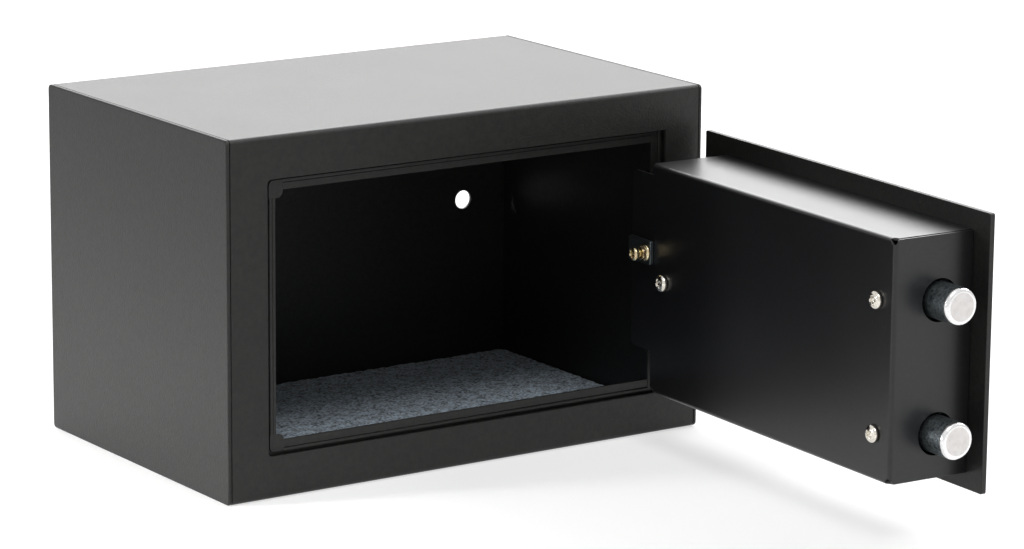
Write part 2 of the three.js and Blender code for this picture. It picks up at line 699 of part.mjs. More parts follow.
// Hinge arm: welded to the door plate, up to the tongue, round the frame and rolled about the pin
function hingeArm() {
  const half = ARM_SHEET / 2;
  const flat = coverBackInner - FIT - half;
  const riser = coverHinge - ARM_RISER_INSET;
  const knuckleRadius = pinHoleRadius + ARM_SHEET;
  const leg = pivotX + knuckleRadius - half;
  const strip = foldedStrip(
    [
      [riser - ARM_FOOT, seat + half],
      [riser, seat + half],
      [riser, flat],
      [tongueEnd, flat],
      [leg, pivotY + ARM_ELBOW_DEPTH],
      [leg, pivotY],
    ],
    ARM_SHEET,
    ARM_BEND,
  );
  const knuckle = turnedZ(rod(knuckleRadius, hingeArmBottom, hingeArmTop), pivotX, pivotY);
  const bore = turnedZ(rod(pinHoleRadius, hingeArmBottom - PAST, hingeArmTop + PAST), pivotX, pivotY);
  const holes = [hingeScrew, clampScrew].map((place) => screwHoleAt(place, flat - ARM_SHEET, coverBack));
  const arm = prismZ(strip, hingeArmBottom, hingeArmTop).add(knuckle);
  return toMesh("hinge_arm", cut(arm, [bore, ...holes]), blackPowder);
}

// Pan-head screw with a cross recess, its head on the outside of the cover
function panHeadSolid([x, z], headDiameter, headHeight, from, length) {
  const head = headDiameter / 2;
  const profile = [
    [0, from - length],
    [SCREW_DIAMETER / 2, from - length],
    [SCREW_DIAMETER / 2, from],
    [head, from],
    ...PAN_HEAD_OUTLINE.map(([out, up]) => [head * out, from + headHeight * up]),
    [0, from + headHeight],
  ];
  const top = from + headHeight;
  const arms = [
    [CROSS_RECESS_LENGTH, CROSS_RECESS_WIDTH],
    [CROSS_RECESS_WIDTH, CROSS_RECESS_LENGTH],
  ].map(([wide, high]) =>
    block(
      [x - wide / 2, top - CROSS_RECESS_DEPTH, z - high / 2],
      [x + wide / 2, top + PAST, z + high / 2],
    ),
  );
  return cut(turnedY(profile, x, z, SMALL_TURN_STEPS), arms);
}

function coverScrew(name, place) {
  const solid = panHeadSolid(place, SCREW_HEAD_DIAMETER, SCREW_HEAD_HEIGHT, screwSeat, SCREW_LENGTH);
  return toMesh(name, solid, nickel);
}

// Clamp on the tongue: a small plate, a flange nut and a yellow screw that stands proud
const clampPlateBack = screwSeat + CLAMP_PLATE_SHEET;

function clampPlate() {
  const low = clampScrew[1] - CLAMP_PLATE_HEIGHT / 2;
  const plate = block([coverHinge, screwSeat, low], [tongueEnd, clampPlateBack, low + CLAMP_PLATE_HEIGHT]);
  const hole = screwHoleAt(clampScrew, screwSeat - PAST, clampPlateBack + PAST);
  return toMesh("clamp_plate", plate.subtract(hole), zinc);
}

function clampNut() {
  const from = clampPlateBack + FIT;
  const [x, z] = clampScrew;
  const rim = rod(CLAMP_NUT_FLANGE / 2, from, from + CLAMP_NUT_FLANGE_HEIGHT);
  const flange = turnedY(rim, x, z, SMALL_TURN_STEPS);
  const hex = prismY(hexagon(CLAMP_NUT_FLATS, x, z), from, from + CLAMP_NUT_HEIGHT);
  const hole = screwHoleAt(clampScrew, from - PAST, from + CLAMP_NUT_HEIGHT + PAST);
  return toMesh("clamp_nut", flange.add(hex).subtract(hole), yellowZinc);
}

function clampScrewMesh() {
  const under = coverBack + CLAMP_STANDOFF;
  const solid = panHeadSolid(clampScrew, CLAMP_HEAD_DIAMETER, CLAMP_HEAD_HEIGHT, under, CLAMP_SCREW_LENGTH);
  return toMesh("clamp_screw", solid, yellowZinc);
}

// Bolt guide: a channel welded to the door plate that carries both bolts and the cover's free end
function boltGuide() {
  const half = GUIDE_SHEET / 2;
  const wall = coverFree + GUIDE_WALL_INSET;
  const shape = foldedStrip(
    [
      [wall - GUIDE_FOOT, seat + half],
      [wall, seat + half],
      [wall, coverBackInner - FIT - half],
      [wall - GUIDE_FLANGE, coverBackInner - FIT - half],
    ],
    GUIDE_SHEET,
    GUIDE_BEND,
  );
  const bores = Object.values(boltHeights).map((z) =>
    turnedX(rod(BOLT_DIAMETER / 2 + FIT, wall - GUIDE_SHEET, wall + GUIDE_SHEET), boltAxisY, z),
  );
  const places = [coverScrews.cover_screw_top, coverScrews.cover_screw_bottom];
  const holes = places.map((place) => screwHoleAt(place, coverBackInner - 2 * GUIDE_SHEET, coverBack));
  return toMesh("bolt_guide", cut(prismZ(shape, guideBottom, guideTop), [...bores, ...holes]), brightSteel);
}

// Bolts: round bars with a bright chamfered end and a threaded tail
function bolt(name, z) {
  const radius = BOLT_DIAMETER / 2;
  const profile = [
    [0, boltEnd],
    [radius - BOLT_CHAMFER, boltEnd],
    [radius, boltEnd + BOLT_CHAMFER],
    [radius, boltShoulder],
    [BOLT_TAIL_DIAMETER / 2, boltShoulder],
    [BOLT_TAIL_DIAMETER / 2, boltShoulder + BOLT_TAIL_LENGTH],
    [0, boltShoulder + BOLT_TAIL_LENGTH],
  ];
  return toMesh(name, turnedX(profile, boltAxisY, z, LARGE_TURN_STEPS), chrome);
}

function boltNut(name, z) {
  const from = carrierBack + FIT;
  const hex = prismX(hexagon(BOLT_NUT_FLATS, boltAxisY, z), from, from + BOLT_NUT_HEIGHT);
  const tailHole = rod(BOLT_TAIL_DIAMETER / 2 + FIT, from - PAST, from + BOLT_NUT_HEIGHT + PAST);
  const hole = turnedX(tailHole, boltAxisY, z);
  return toMesh(name, hex.subtract(hole), zinc);
}

// A slot for a stud or pin: a rectangle with round ends
function slot(x0, z0, x1, z1, radius) {
  const shape = new THREE.Shape();
  const turn = Math.atan2(z1 - z0, x1 - x0);
  shape.absarc(x1, z1, radius, turn - Math.PI / 2, turn + Math.PI / 2);
  shape.absarc(x0, z0, radius, turn + Math.PI / 2, turn + 1.5 * Math.PI);
  shape.closePath();
  return shape;
}

// Places of the guide studs
const studSlot = STUD_DIAMETER / 2 + SLIDE_PLAY;
const carrierStuds = {
  carrier_stud_low: [knobX, slideBodyBottom + STUD_END_MARGIN + studSlot],
  carrier_stud_high: [armEnd - STUD_END_MARGIN - studSlot, armTop - STUD_END_MARGIN - studSlot],
};
const deadStuds = {
  dead_stud_near: [lockX - DEAD_LENGTH / 2 + STUD_END_MARGIN + studSlot, openingMiddle],
  dead_stud_far: [lockX + DEAD_LENGTH / 2 - STUD_END_MARGIN - studSlot, openingMiddle],
};

// Bolt carrier: an angle that joins both bolts to the sliding plate, drawn with the bolts thrown
function boltCarrier() {
  const top = Math.max(boltHeights.top + BOLT_DIAMETER / 2 + CARRIER_MARGIN, armTop);
  const bottom = boltHeights.bottom - BOLT_DIAMETER / 2 - CARRIER_MARGIN;
  const front = boltAxisY - BOLT_DIAMETER / 2;
  const leg = block([carrierFront, front, bottom], [carrierBack, slideBack, top]);
  const tailHoles = Object.values(boltHeights).map((z) =>
    turnedX(rod(BOLT_TAIL_DIAMETER / 2 + FIT, carrierFront - PAST, carrierBack + PAST), boltAxisY, z),
  );
  const bodyEnd = knobX + SLIDE_BODY_PAST_KNOB;
  const body = block([carrierFront, slideFront, slideBodyBottom], [bodyEnd, slideBack, slideBodyTop]);
  const arm = block([carrierFront, slideFront, armBottom], [armEnd, slideBack, armTop]);
  const through = [slideFront - PAST, slideBack + PAST];
  const studSlots = Object.values(carrierStuds).map(([x, z]) =>
    prismY(slot(x - BOLT_THROW, z, x, z, studSlot), ...through),
  );
  const pinX = knobX - BOLT_THROW / 2;
  const pinSlot = slot(
    pinX,
    openingMiddle + crankLift,
    pinX,
    openingMiddle + crankRadius,
    CRANK_PIN_DIAMETER / 2 + SLOT_PLAY,
  );
  const notches = [0, BOLT_THROW].map((drawn) => {
    const side = DEAD_TONGUE_WIDTH / 2 + SLIDE_PLAY;
    const x = lockX - drawn;
    const depth = DEAD_TRAVEL - DEAD_TONGUE_LEAD + SLOT_PLAY;
    return block([x - side, through[0], armBottom - PAST], [x + side, through[1], armBottom + depth]);
  });
  const plate = unite([leg, body, arm]);
  const tools = [...tailHoles, ...studSlots, prismY(pinSlot, ...through), ...notches];
  return toMesh("bolt_carrier", cut(plate, tools), zinc);
}

// Stud with a shoulder in front of its plate and a riveted head behind it
function guideStud(name, [x, z]) {
  const shoulder = STUD_SHOULDER_DIAMETER / 2;
  const neckEnd = slideBack + FIT;
  const profile = [
    [0, seat],
    [shoulder, seat],
    [shoulder, slideFront - FIT],
    [STUD_DIAMETER / 2, slideFront - FIT],
    [STUD_DIAMETER / 2, neckEnd],
    [shoulder, neckEnd],
    [shoulder, neckEnd + STUD_HEAD_HEIGHT],
    [0, neckEnd + STUD_HEAD_HEIGHT],
  ];
  return toMesh(name, turnedY(profile, x, z, SMALL_TURN_STEPS), brightSteel);
}

// Knob, shaft and crank turn together; the crank's pin drives the carrier
const roseFront = -FIT - ROSE_HEIGHT;
const knobBack = roseFront - KNOB_STANDOFF;
const crankBack = slideFront - 2 * FIT;
const crankFront = crankBack - CRANK_SHEET;
const shaftRadius = SHAFT_DIAMETER / 2;

function knob() {
  const shape = new THREE.Shape();
  const steps = KNOB_FLUTES * KNOB_FLUTE_STEPS;
  const base = KNOB_DIAMETER / 2 - KNOB_EDGE - KNOB_FLUTE_DEPTH / 2;
  for (let i = 0; i < steps; i += 1) {
    const turn = (2 * Math.PI * i) / steps;
    const radius = base + (KNOB_FLUTE_DEPTH / 2) * Math.cos(KNOB_FLUTES * turn);
    const method = i === 0 ? "moveTo" : "lineTo";
    shape[method](knobX + radius * Math.cos(turn), openingMiddle + radius * Math.sin(turn));
  }
  shape.closePath();
  const geometry = new THREE.ExtrudeGeometry(shape, {
    depth: KNOB_HEIGHT - 2 * KNOB_EDGE,
    bevelEnabled: true,
    bevelSize: KNOB_EDGE,
    bevelThickness: KNOB_EDGE,
    bevelSegments: EDGE_STEPS,
  });
  geometry.applyMatrix4(xzToY).translate(0, knobBack - KNOB_EDGE, 0);
  const boreRod = rod(shaftRadius + FIT, knobBack - KNOB_BORE_DEPTH, knobBack + PAST);
  const bore = turnedY(boreRod, knobX, openingMiddle);
  return toMesh("knob", toSolid(geometry).subtract(bore), blackPlastic);
}

function knobShaft() {
  const from = knobBack - KNOB_BORE_DEPTH + FIT;
  const shaft = turnedY(rod(shaftRadius, from, crankBack), knobX, openingMiddle);
  return toMesh("knob_shaft", shaft, brightSteel);
}

function knobRose() {
  const ring = tube(BUSH_DIAMETER / 2 + FIT, ROSE_DIAMETER / 2, roseFront, -FIT);
  return toMesh("knob_rose", turnedY(ring, knobX, openingMiddle, LARGE_TURN_STEPS), chrome);
}

function shaftBush() {
  const bore = shaftRadius + FIT;
  const body = BUSH_DIAMETER / 2;
  const flange = BUSH_FLANGE_DIAMETER / 2;
  const profile = [
    [bore, roseFront],
    [body, roseFront],
    [body, seat],
    [flange, seat],
    [flange, seat + BUSH_FLANGE_HEIGHT],
    [body, seat + BUSH_FLANGE_HEIGHT],
    [body, seat + BUSH_LENGTH],
    [bore, seat + BUSH_LENGTH],
    [bore, roseFront],
  ];
  return toMesh("shaft_bush", turnedY(profile, knobX, openingMiddle), brass);
}

function crank() {
  const pinX = knobX - BOLT_THROW / 2;
  const pinZ = openingMiddle + crankLift;
  const lever = slot(knobX, openingMiddle, pinX, pinZ, CRANK_PIN_DIAMETER / 2 + CRANK_TIP_MARGIN);
  const plate = prismY(lever, crankFront, crankBack);
  const boss = turnedY(rod(CRANK_BOSS_DIAMETER / 2, crankFront, crankBack), knobX, openingMiddle);
  const bore = turnedY(rod(shaftRadius + FIT, crankFront - PAST, crankBack + PAST), knobX, openingMiddle);
  const pinRod = rod(CRANK_PIN_DIAMETER / 2, crankFront, slideBack + FIT);
  const pin = turnedY(pinRod, pinX, pinZ, SMALL_TURN_STEPS);
  return toMesh("crank", plate.add(boss).subtract(bore).add(pin), brightSteel);
}

// Key lock: a barrel held by a nut, a turning plug, and a cam that lifts the dead slide
const camBack = slideFront - 2 * FIT;
const camFront = camBack - LOCK_CAM_SHEET;

function lockBarrel() {
  const bore = LOCK_PLUG_DIAMETER / 2 + FIT;
  const body = LOCK_BARREL_DIAMETER / 2;
  const flange = LOCK_FLANGE_DIAMETER / 2;
  const front = -FIT - LOCK_FLANGE_HEIGHT;
  const profile = [
    [bore, front],
    [flange - LOCK_FLANGE_CHAMFER, front],
    [flange, front + LOCK_FLANGE_CHAMFER],
    [flange, -FIT],
    [body, -FIT],
    [body, lockBarrelBack],
    [bore, lockBarrelBack],
    [bore, front],
  ];
  return toMesh("lock_barrel", turnedY(profile, lockX, openingMiddle, LARGE_TURN_STEPS), chrome);
}

function lockNut() {
  const hex = prismY(hexagon(LOCK_NUT_FLATS, lockX, openingMiddle), seat, seat + LOCK_NUT_HEIGHT);
  const hole = turnedY(
    rod(LOCK_BARREL_DIAMETER / 2 + FIT, seat - PAST, seat + LOCK_NUT_HEIGHT + PAST),
    lockX,
    openingMiddle,
  );
  return toMesh("lock_nut", hex.subtract(hole), zinc);
}

function lockPlug() {
  const front = -FIT - LOCK_FLANGE_HEIGHT - LOCK_PLUG_PROUD;
  const radius = LOCK_PLUG_DIAMETER / 2;
  const tail = LOCK_TAIL_DIAMETER / 2;
  const profile = [
    [0, front],
    [radius, front],
    [radius, lockBarrelBack + FIT],
    [tail, lockBarrelBack + FIT],
    [tail, camBack],
    [0, camBack],
  ];
  const keyway = block(
    [lockX - KEYWAY_WIDTH / 2, front - PAST, openingMiddle - KEYWAY_HEIGHT / 2],
    [lockX + KEYWAY_WIDTH / 2, front + KEYWAY_DEPTH, openingMiddle + KEYWAY_HEIGHT / 2],
  );
  return toMesh("lock_plug", turnedY(profile, lockX, openingMiddle).subtract(keyway), brass);
}

function lockCam() {
  const pinX = lockX + camReach;
  const pinZ = openingMiddle - DEAD_TRAVEL / 2;
  const disc = camRadius + LOCK_PIN_DIAMETER / 2 + LOCK_PIN_MARGIN;
  const ring = turnedY(tube(LOCK_TAIL_DIAMETER / 2 + FIT, disc, camFront, camBack), lockX, openingMiddle);
  const pinRod = rod(LOCK_PIN_DIAMETER / 2, camFront, slideBack + FIT);
  const pin = turnedY(pinRod, pinX, pinZ, SMALL_TURN_STEPS);
  const bore = turnedY(rod(LOCK_TAIL_DIAMETER / 2 + FIT, camFront, slideBack + PAST), lockX, openingMiddle);
  return toMesh("lock_cam", ring.add(pin.subtract(bore)), brightSteel);
}

// Dead slide: drawn with its tongue below the carrier's arm, clear of the notch
function deadSlide() {
  const middle = openingMiddle - DEAD_TRAVEL / 2;
  const body = block(
    [lockX - DEAD_LENGTH / 2, slideFront, middle - DEAD_HEIGHT / 2],
    [lockX + DEAD_LENGTH / 2, slideBack, middle + DEAD_HEIGHT / 2],
  );
  const tongue = block(
    [lockX - DEAD_TONGUE_WIDTH / 2, slideFront, middle],
    [lockX + DEAD_TONGUE_WIDTH / 2, slideBack, middle + DEAD_HEIGHT / 2 + DEAD_TONGUE_HEIGHT],
  );
  const through = [slideFront - PAST, slideBack + PAST];
  const studSlots = Object.values(deadStuds).map(([x, z]) =>
    prismY(slot(x, z - DEAD_TRAVEL, x, z, studSlot), ...through),
  );
  const pinSlot = slot(
    lockX + camReach,
    middle,
    lockX + camRadius,
    middle,
    LOCK_PIN_DIAMETER / 2 + SLIDE_PLAY,
  );
  const plate = body.add(tongue);
  return toMesh("dead_slide", cut(plate, [...studSlots, prismY(pinSlot, ...through)]), zinc);
}

// The cabinet stands still
const cabinet = new THREE.Group();
cabinet.add(
  cabinetWrap(),
  sidePanel("side_panel_left", -1),
  sidePanel("side_panel_right", 1),
  cornerTab("corner_tab_top", 1),
  cornerTab("corner_tab_bottom", -1),
  strikeChannel(),
  floorMat(),
  hingeBracket("hinge_bracket_top", 1),
  hingeBracket("hinge_bracket_bottom", -1),
  hingePin(),
  pinClip(),
  hingeWasher(),
);

// Everything on the door, in its closed place
const doorPieces = new THREE.Group();
doorPieces.add(doorPlate(), lockCover(), hingeArm(), boltGuide());
doorPieces.add(clampPlate(), clampNut(), clampScrewMesh());
for (const [name, place] of Object.entries(coverScrews)) {
  doorPieces.add(coverScrew(name, place));
}
for (const [name, place] of Object.entries({ ...carrierStuds, ...deadStuds })) {
  doorPieces.add(guideStud(name, place));
}
for (const [name, z] of Object.entries(boltHeights)) {
  doorPieces.add(bolt(`bolt_${name}`, z), boltNut(`bolt_nut_${name}`, z));
}
doorPieces.add(boltCarrier(), knob(), knobShaft(), knobRose(), shaftBush(), crank());
doorPieces.add(lockBarrel(), lockNut(), lockPlug(), lockCam(), deadSlide());
doorPieces.position.set(-pivotX, -pivotY, 0);

// The door turned open about the pin
const door = new THREE.Group();
door.add(doorPieces);
door.position.set(pivotX, pivotY, 0);
door.rotation.z = THREE.MathUtils.degToRad(DOOR_OPEN_ANGLE);

// The origin is the middle of the cabinet's base
const safe = new THREE.Group();
safe.add(cabinet, door);
safe.position.set(0, -CABINET_DEPTH / 2, 0);

export default safe;
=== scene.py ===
"""A small black steel safe with its door open, dressed on its frame.

Lengths inside the sections are in millimetres, with X to the right, Y into the cabinet from its
front face and Z up. They turn into metres in the row's own frame as each mesh is made.
"""

from math import cos, pi, radians, sin

import bmesh
import bpy
import numpy as np
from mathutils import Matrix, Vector
from mathutils.geometry import delaunay_2d_cdt


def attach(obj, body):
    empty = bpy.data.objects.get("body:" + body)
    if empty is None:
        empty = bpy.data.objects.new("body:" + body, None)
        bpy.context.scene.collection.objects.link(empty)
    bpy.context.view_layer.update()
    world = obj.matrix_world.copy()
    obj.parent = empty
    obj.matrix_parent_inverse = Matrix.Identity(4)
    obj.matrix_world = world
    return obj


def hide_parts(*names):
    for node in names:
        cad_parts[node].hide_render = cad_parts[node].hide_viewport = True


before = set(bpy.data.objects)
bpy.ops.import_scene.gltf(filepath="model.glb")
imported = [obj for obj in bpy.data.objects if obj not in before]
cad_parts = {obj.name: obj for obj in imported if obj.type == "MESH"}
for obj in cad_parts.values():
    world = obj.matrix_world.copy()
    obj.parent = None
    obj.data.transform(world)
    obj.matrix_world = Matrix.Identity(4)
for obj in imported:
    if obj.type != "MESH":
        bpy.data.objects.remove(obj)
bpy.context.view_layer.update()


# Camera and studio
# A long lens looks down at the safe from its left front corner. A white floor runs out of the
# picture, and soft lamps stand behind, in front and on both sides of the safe.
camera_data = bpy.data.cameras.new("camera")
camera_data.lens = 149.19
camera_data.sensor_width = 36.0
camera = bpy.data.objects.new("camera", camera_data)
camera.location = (-1.2598, -1.9713, 0.6273)
camera.rotation_euler = (radians(77.0425), radians(-0.4534), radians(-34.361))
bpy.context.scene.collection.objects.link(camera)
bpy.context.scene.camera = camera
bpy.context.scene.view_settings.view_transform = "Standard"


def seen_directly(nodes, links):
    """A factor that is 1 for rays from the camera, and for the ones that mirror or pass on a view."""
    path = nodes.new("ShaderNodeLightPath")
    total = path.outputs["Is Camera Ray"]
    for ray in ("Is Glossy Ray", "Is Transmission Ray"):
        add = nodes.new("ShaderNodeMath")
        add.operation = "MAXIMUM"
        links.new(total, add.inputs[0])
        links.new(path.outputs[ray], add.inputs[1])
        total = add.outputs[0]
    return total


world = bpy.data.worlds.new("studio")
world.use_nodes = True
bpy.context.scene.world = world
sky_nodes, sky_links = world.node_tree.nodes, world.node_tree.links
sky_nodes.clear()
white = (1.0, 1.0, 1.0, 1.0)
sky = sky_nodes.new("ShaderNodeBackground")
sky.inputs["Color"].default_value = white
sky.inputs["Strength"].default_value = 0.34
sky_seen = sky_nodes.new("ShaderNodeBackground")
sky_seen.inputs["Color"].default_value = white
sky_seen.inputs["Strength"].default_value = 0.85
sky_mix = sky_nodes.new("ShaderNodeMixShader")
sky_out = sky_nodes.new("ShaderNodeOutputWorld")
sky_links.new(seen_directly(sky_nodes, sky_links), sky_mix.inputs[0])
sky_links.new(sky.outputs[0], sky_mix.inputs[1])
sky_links.new(sky_seen.outputs[0], sky_mix.inputs[2])
sky_links.new(sky_mix.outputs[0], sky_out.inputs["Surface"])


def softbox(name, place, aim, width, height, power, cone=180):
    """A large rectangular lamp at a place, turned to face the point that it is aimed at. Its
    light leaves it within a cone of so many degrees."""
    data = bpy.data.lights.new(name, "AREA")
    data.shape = "RECTANGLE"
    data.size, data.size_y = width, height
    data.energy, data.spread = power, radians(cone)
    lamp = bpy.data.objects.new(name, data)
    lamp.location = place
    lamp.rotation_euler = (Vector(aim) - Vector(place)).to_track_quat("-Z", "Y").to_euler()
    bpy.context.scene.collection.objects.link(lamp)


softbox("lamp_back", (1.75, 1.75, 1.65), (0.0, 0.0, 0.15), width=3.6, height=2.0, power=96.0)
softbox("lamp_right", (2.3, -0.4, 1.9), (0.0, 0.0, 0.1), width=1.4, height=1.4, power=36.0)
softbox(
    "lamp_left", (-1.2, 0.35, 0.28), (-0.155, -0.03, 0.02), width=0.5, height=0.16, power=0.45, cone=16
)
softbox("lamp_front", (-0.5, -1.45, 2.35), (0.0, -0.1, 0.05), width=1.1, height=0.8, power=23.0)

floor_half, floor_level = 9.0, -0.0004
floor_sides = [(-1, -1), (1, -1), (1, 1), (-1, 1)]
floor_corners = [(x * floor_half, y * floor_half, floor_level) for x, y in floor_sides]
floor_mesh = bpy.data.meshes.new("floor")
floor_mesh.from_pydata(floor_corners, [], [(0, 1, 2, 3)])
floor = bpy.data.objects.new("floor", floor_mesh)
bpy.context.scene.collection.objects.link(floor)
floor_paint = bpy.data.materials.new("white_floor")
floor_paint.use_nodes = True
floor_nodes, floor_links = floor_paint.node_tree.nodes, floor_paint.node_tree.links
floor_nodes.clear()
matt = floor_nodes.new("ShaderNodeBsdfDiffuse")
matt.inputs["Color"].default_value = (0.86, 0.86, 0.86, 1.0)
shaded = floor_nodes.new("ShaderNodeBsdfDiffuse")
shaded.inputs["Color"].default_value = (0.52, 0.52, 0.52, 1.0)
glow = floor_nodes.new("ShaderNodeEmission")
glow.inputs["Color"].default_value = white
glow.inputs["Strength"].default_value = 0.58
lit = floor_nodes.new("ShaderNodeAddShader")
floor_mix = floor_nodes.new("ShaderNodeMixShader")
floor_out = floor_nodes.new("ShaderNodeOutputMaterial")
floor_links.new(shaded.outputs[0], lit.inputs[0])
floor_links.new(glow.outputs[0], lit.inputs[1])
floor_links.new(seen_directly(floor_nodes, floor_links), floor_mix.inputs[0])
floor_links.new(matt.outputs[0], floor_mix.inputs[1])
floor_links.new(lit.outputs[0], floor_mix.inputs[2])
floor_links.new(floor_mix.outputs[0], floor_out.inputs["Surface"])
floor_mesh.materials.append(floor_paint)


# Cabinet wrap
# Front, top, rear and bottom are one strip of 2 mm steel, folded round and butted under the
# bottom. The doorway and the two rear fixing holes are cut in it while it is flat.
def surface(name):
    """A new material's nodes and links, its surface shader and its Object coordinates."""
    material = bpy.data.materials.new(name)
    material.use_nodes = True
    nodes, links = material.node_tree.nodes, material.node_tree.links
    place = nodes.new("ShaderNodeTexCoord").outputs["Object"]
    return material, nodes, links, nodes["Principled BSDF"], place


def noise(nodes, links, place, size, detail=2.0, stretch=None):
    """Soft noise whose blots are about size metres across, drawn out by stretch along X, Y and Z."""
    if stretch is not None:
        mapping = nodes.new("ShaderNodeMapping")
        mapping.inputs["Scale"].default_value = stretch
        links.new(place, mapping.inputs["Vector"])
        place = mapping.outputs["Vector"]
    texture = nodes.new("ShaderNodeTexNoise")
    texture.inputs["Scale"].default_value = 1.0 / size
    texture.inputs["Detail"].default_value = detail
    links.new(place, texture.inputs["Vector"])
    return texture.outputs["Fac"]


def spread(nodes, links, value, low, high, start=0.3, end=0.7):
    """The noise value's middle part, from start to end, spread over a number or a colour range."""
    if np.isscalar(low):
        node = nodes.new("ShaderNodeMapRange")
        for socket, number in (("From Min", start), ("From Max", end), ("To Min", low), ("To Max", high)):
            node.inputs[socket].default_value = number
        links.new(value, node.inputs["Value"])
        return node.outputs["Result"]
    node = nodes.new("ShaderNodeValToRGB")
    for element, position, colour in zip(node.color_ramp.elements, (start, end), (low, high)):
        element.position = position
        element.color = (*colour, 1.0)
    links.new(value, node.inputs["Fac"])
    return node.outputs["Color"]


def raised(nodes, links, shader, height, depth, strength):
    """The height pattern stands depth metres out of the surface, at the given strength."""
    bump = nodes.new("ShaderNodeBump")
    bump.inputs["Distance"].default_value = depth
    bump.inputs["Strength"].default_value = strength
    links.new(height, bump.inputs["Height"])
    links.new(bump.outputs["Normal"], shader.inputs["Normal"])


def powder_coat(name, dark, light, grain, strength, gloss, specular):
    """Baked powder: fine pits, grain metres apart and pressed in at the given strength, over a
    shade between dark and light and a slow drift of its roughness between the two of gloss."""
    material, nodes, links, shader, place = surface(name)
    shade = noise(nodes, links, place, grain * 2.5, 4.0)
    links.new(spread(nodes, links, shade, dark, light), shader.inputs["Base Color"])
    drift = noise(nodes, links, place, 0.045, 3.0)
    links.new(spread(nodes, links, drift, gloss[0], gloss[1]), shader.inputs["Roughness"])
    shader.inputs["Specular IOR Level"].default_value = specular
    raised(nodes, links, shader, noise(nodes, links, place, grain, 3.0), grain * 0.25, strength)
    return material


black_powder = powder_coat(
    "black_powder", (0.007, 0.007, 0.0065), (0.015, 0.015, 0.0134),
    grain=0.0012, strength=0.5, gloss=(0.445, 0.455), specular=0.38,
)


def flat_pattern(outline, holes=(), u_lines=(), v_lines=()):
    """Points and triangles of a flat sheet: the outline less its holes, cut along lines of
    constant u or v so that it can fold there. A triangle is kept where a ray from its middle
    crosses the sheet's edges an odd number of times."""
    loops = [np.asarray(loop, float) for loop in (outline, *holes)]
    starts = np.cumsum([0] + [len(loop) for loop in loops])
    edges = [
        (int(start + i), int(start + (i + 1) % len(loop)))
        for start, loop in zip(starts, loops)
        for i in range(len(loop))
    ]
    points = np.vstack(loops)
    (u0, v0), (u1, v1) = points.min(0) - 1, points.max(0) + 1
    ends = [[(u, v0), (u, v1)] for u in u_lines] + [[(u0, v), (u1, v)] for v in v_lines]
    edges += [(len(points) + 2 * i, len(points) + 2 * i + 1) for i in range(len(ends))]
    points = np.vstack([points, np.reshape(ends, (-1, 2))])
    cut = delaunay_2d_cdt([Vector(p) for p in points], edges, [], 0, 1e-6)
    points = np.array([tuple(p) for p in cut[0]])
    triangles = np.array(cut[2])
    from_, to = np.vstack(loops), np.vstack([np.roll(loop, -1, 0) for loop in loops])
    middle = points[triangles].mean(1)[:, :, None]
    spans = (from_[:, 1] > middle[:, 1]) != (to[:, 1] > middle[:, 1])
    rise = np.where(from_[:, 1] == to[:, 1], 1.0, to[:, 1] - from_[:, 1])
    crossing = from_[:, 0] + (middle[:, 1] - from_[:, 1]) / rise * (to[:, 0] - from_[:, 0])
    kept = triangles[(spans & (crossing < middle[:, 0])).sum(1) % 2 == 1]
    used, faces = np.unique(kept, return_inverse=True)
    return points[used], faces.reshape(kept.shape)


def rounded_rectangle(u0, v0, u1, v1, radii, steps=6):
    """A rectangle's outline from the lower left round. Each corner is a quarter circle of its own
    radius, which touches both sides: its middle plus the radius times (cos t, sin t)."""
    corners = [(u0, v0, 1, 1, pi), (u1, v0, -1, 1, 1.5 * pi), (u1, v1, -1, -1, 0), (u0, v1, 1, -1, pi / 2)]
    outline = []
    for (u, v, right, up, start), radius in zip(corners, radii):
        turn = start + np.linspace(0, pi / 2, steps + 1 if radius > 0 else 1)
        middle = np.array([u + right * radius, v + up * radius])
        outline.append(middle + radius * np.c_[np.cos(turn), np.sin(turn)])
    return np.vstack(outline)


def circle(u, v, radius, steps=48):
    """Points round a circle: its middle plus the radius times (cos t, sin t)."""
    turn = np.arange(steps) * 2 * pi / steps
    return np.c_[u + radius * np.cos(turn), v + radius * np.sin(turn)]


def leg_length(angle, size):
    """A leg of a bent strip is as long as its straight run, or as its angle times its radius."""
    return size if angle == 0 else abs(angle) * size


def bent_strip(distance, legs, spot, heading):
    """Where points lie at a distance along a bent strip. Each leg starts where the last one ends:
    (0, length) runs straight, and (angle, radius) turns by that angle round that radius."""
    place = np.zeros((len(distance), 2))
    spot, passed = np.array(spot, float), 0.0
    for angle, size in legs:
        length = leg_length(angle, size)
        way = np.append(np.clip(distance - passed, 0, length), length)
        if angle == 0:
            step = way[:, None] * [cos(heading), sin(heading)]
        else:
            side = np.sign(angle)
            turn = heading + side * way / size
            step = side * size * np.c_[np.sin(turn) - sin(heading), cos(heading) - np.cos(turn)]
        reached = distance >= passed
        place[reached] = (spot + step[:-1])[reached]
        spot, heading, passed = spot + step[-1], heading + angle, passed + length
    return place


def fold_lines(legs, steps=6):
    """Distances along a bent strip at which its bends begin, step round and end."""
    lines, passed = [], 0.0
    for angle, size in legs:
        length = leg_length(angle, size)
        if angle != 0:
            lines += list(passed + np.linspace(0, length, steps + 1))
        passed += length
    return lines


mm = 0.001  # in metres
row_origin = [0.0, 97.5, 0.0]  # midway into the cabinet, from its front face


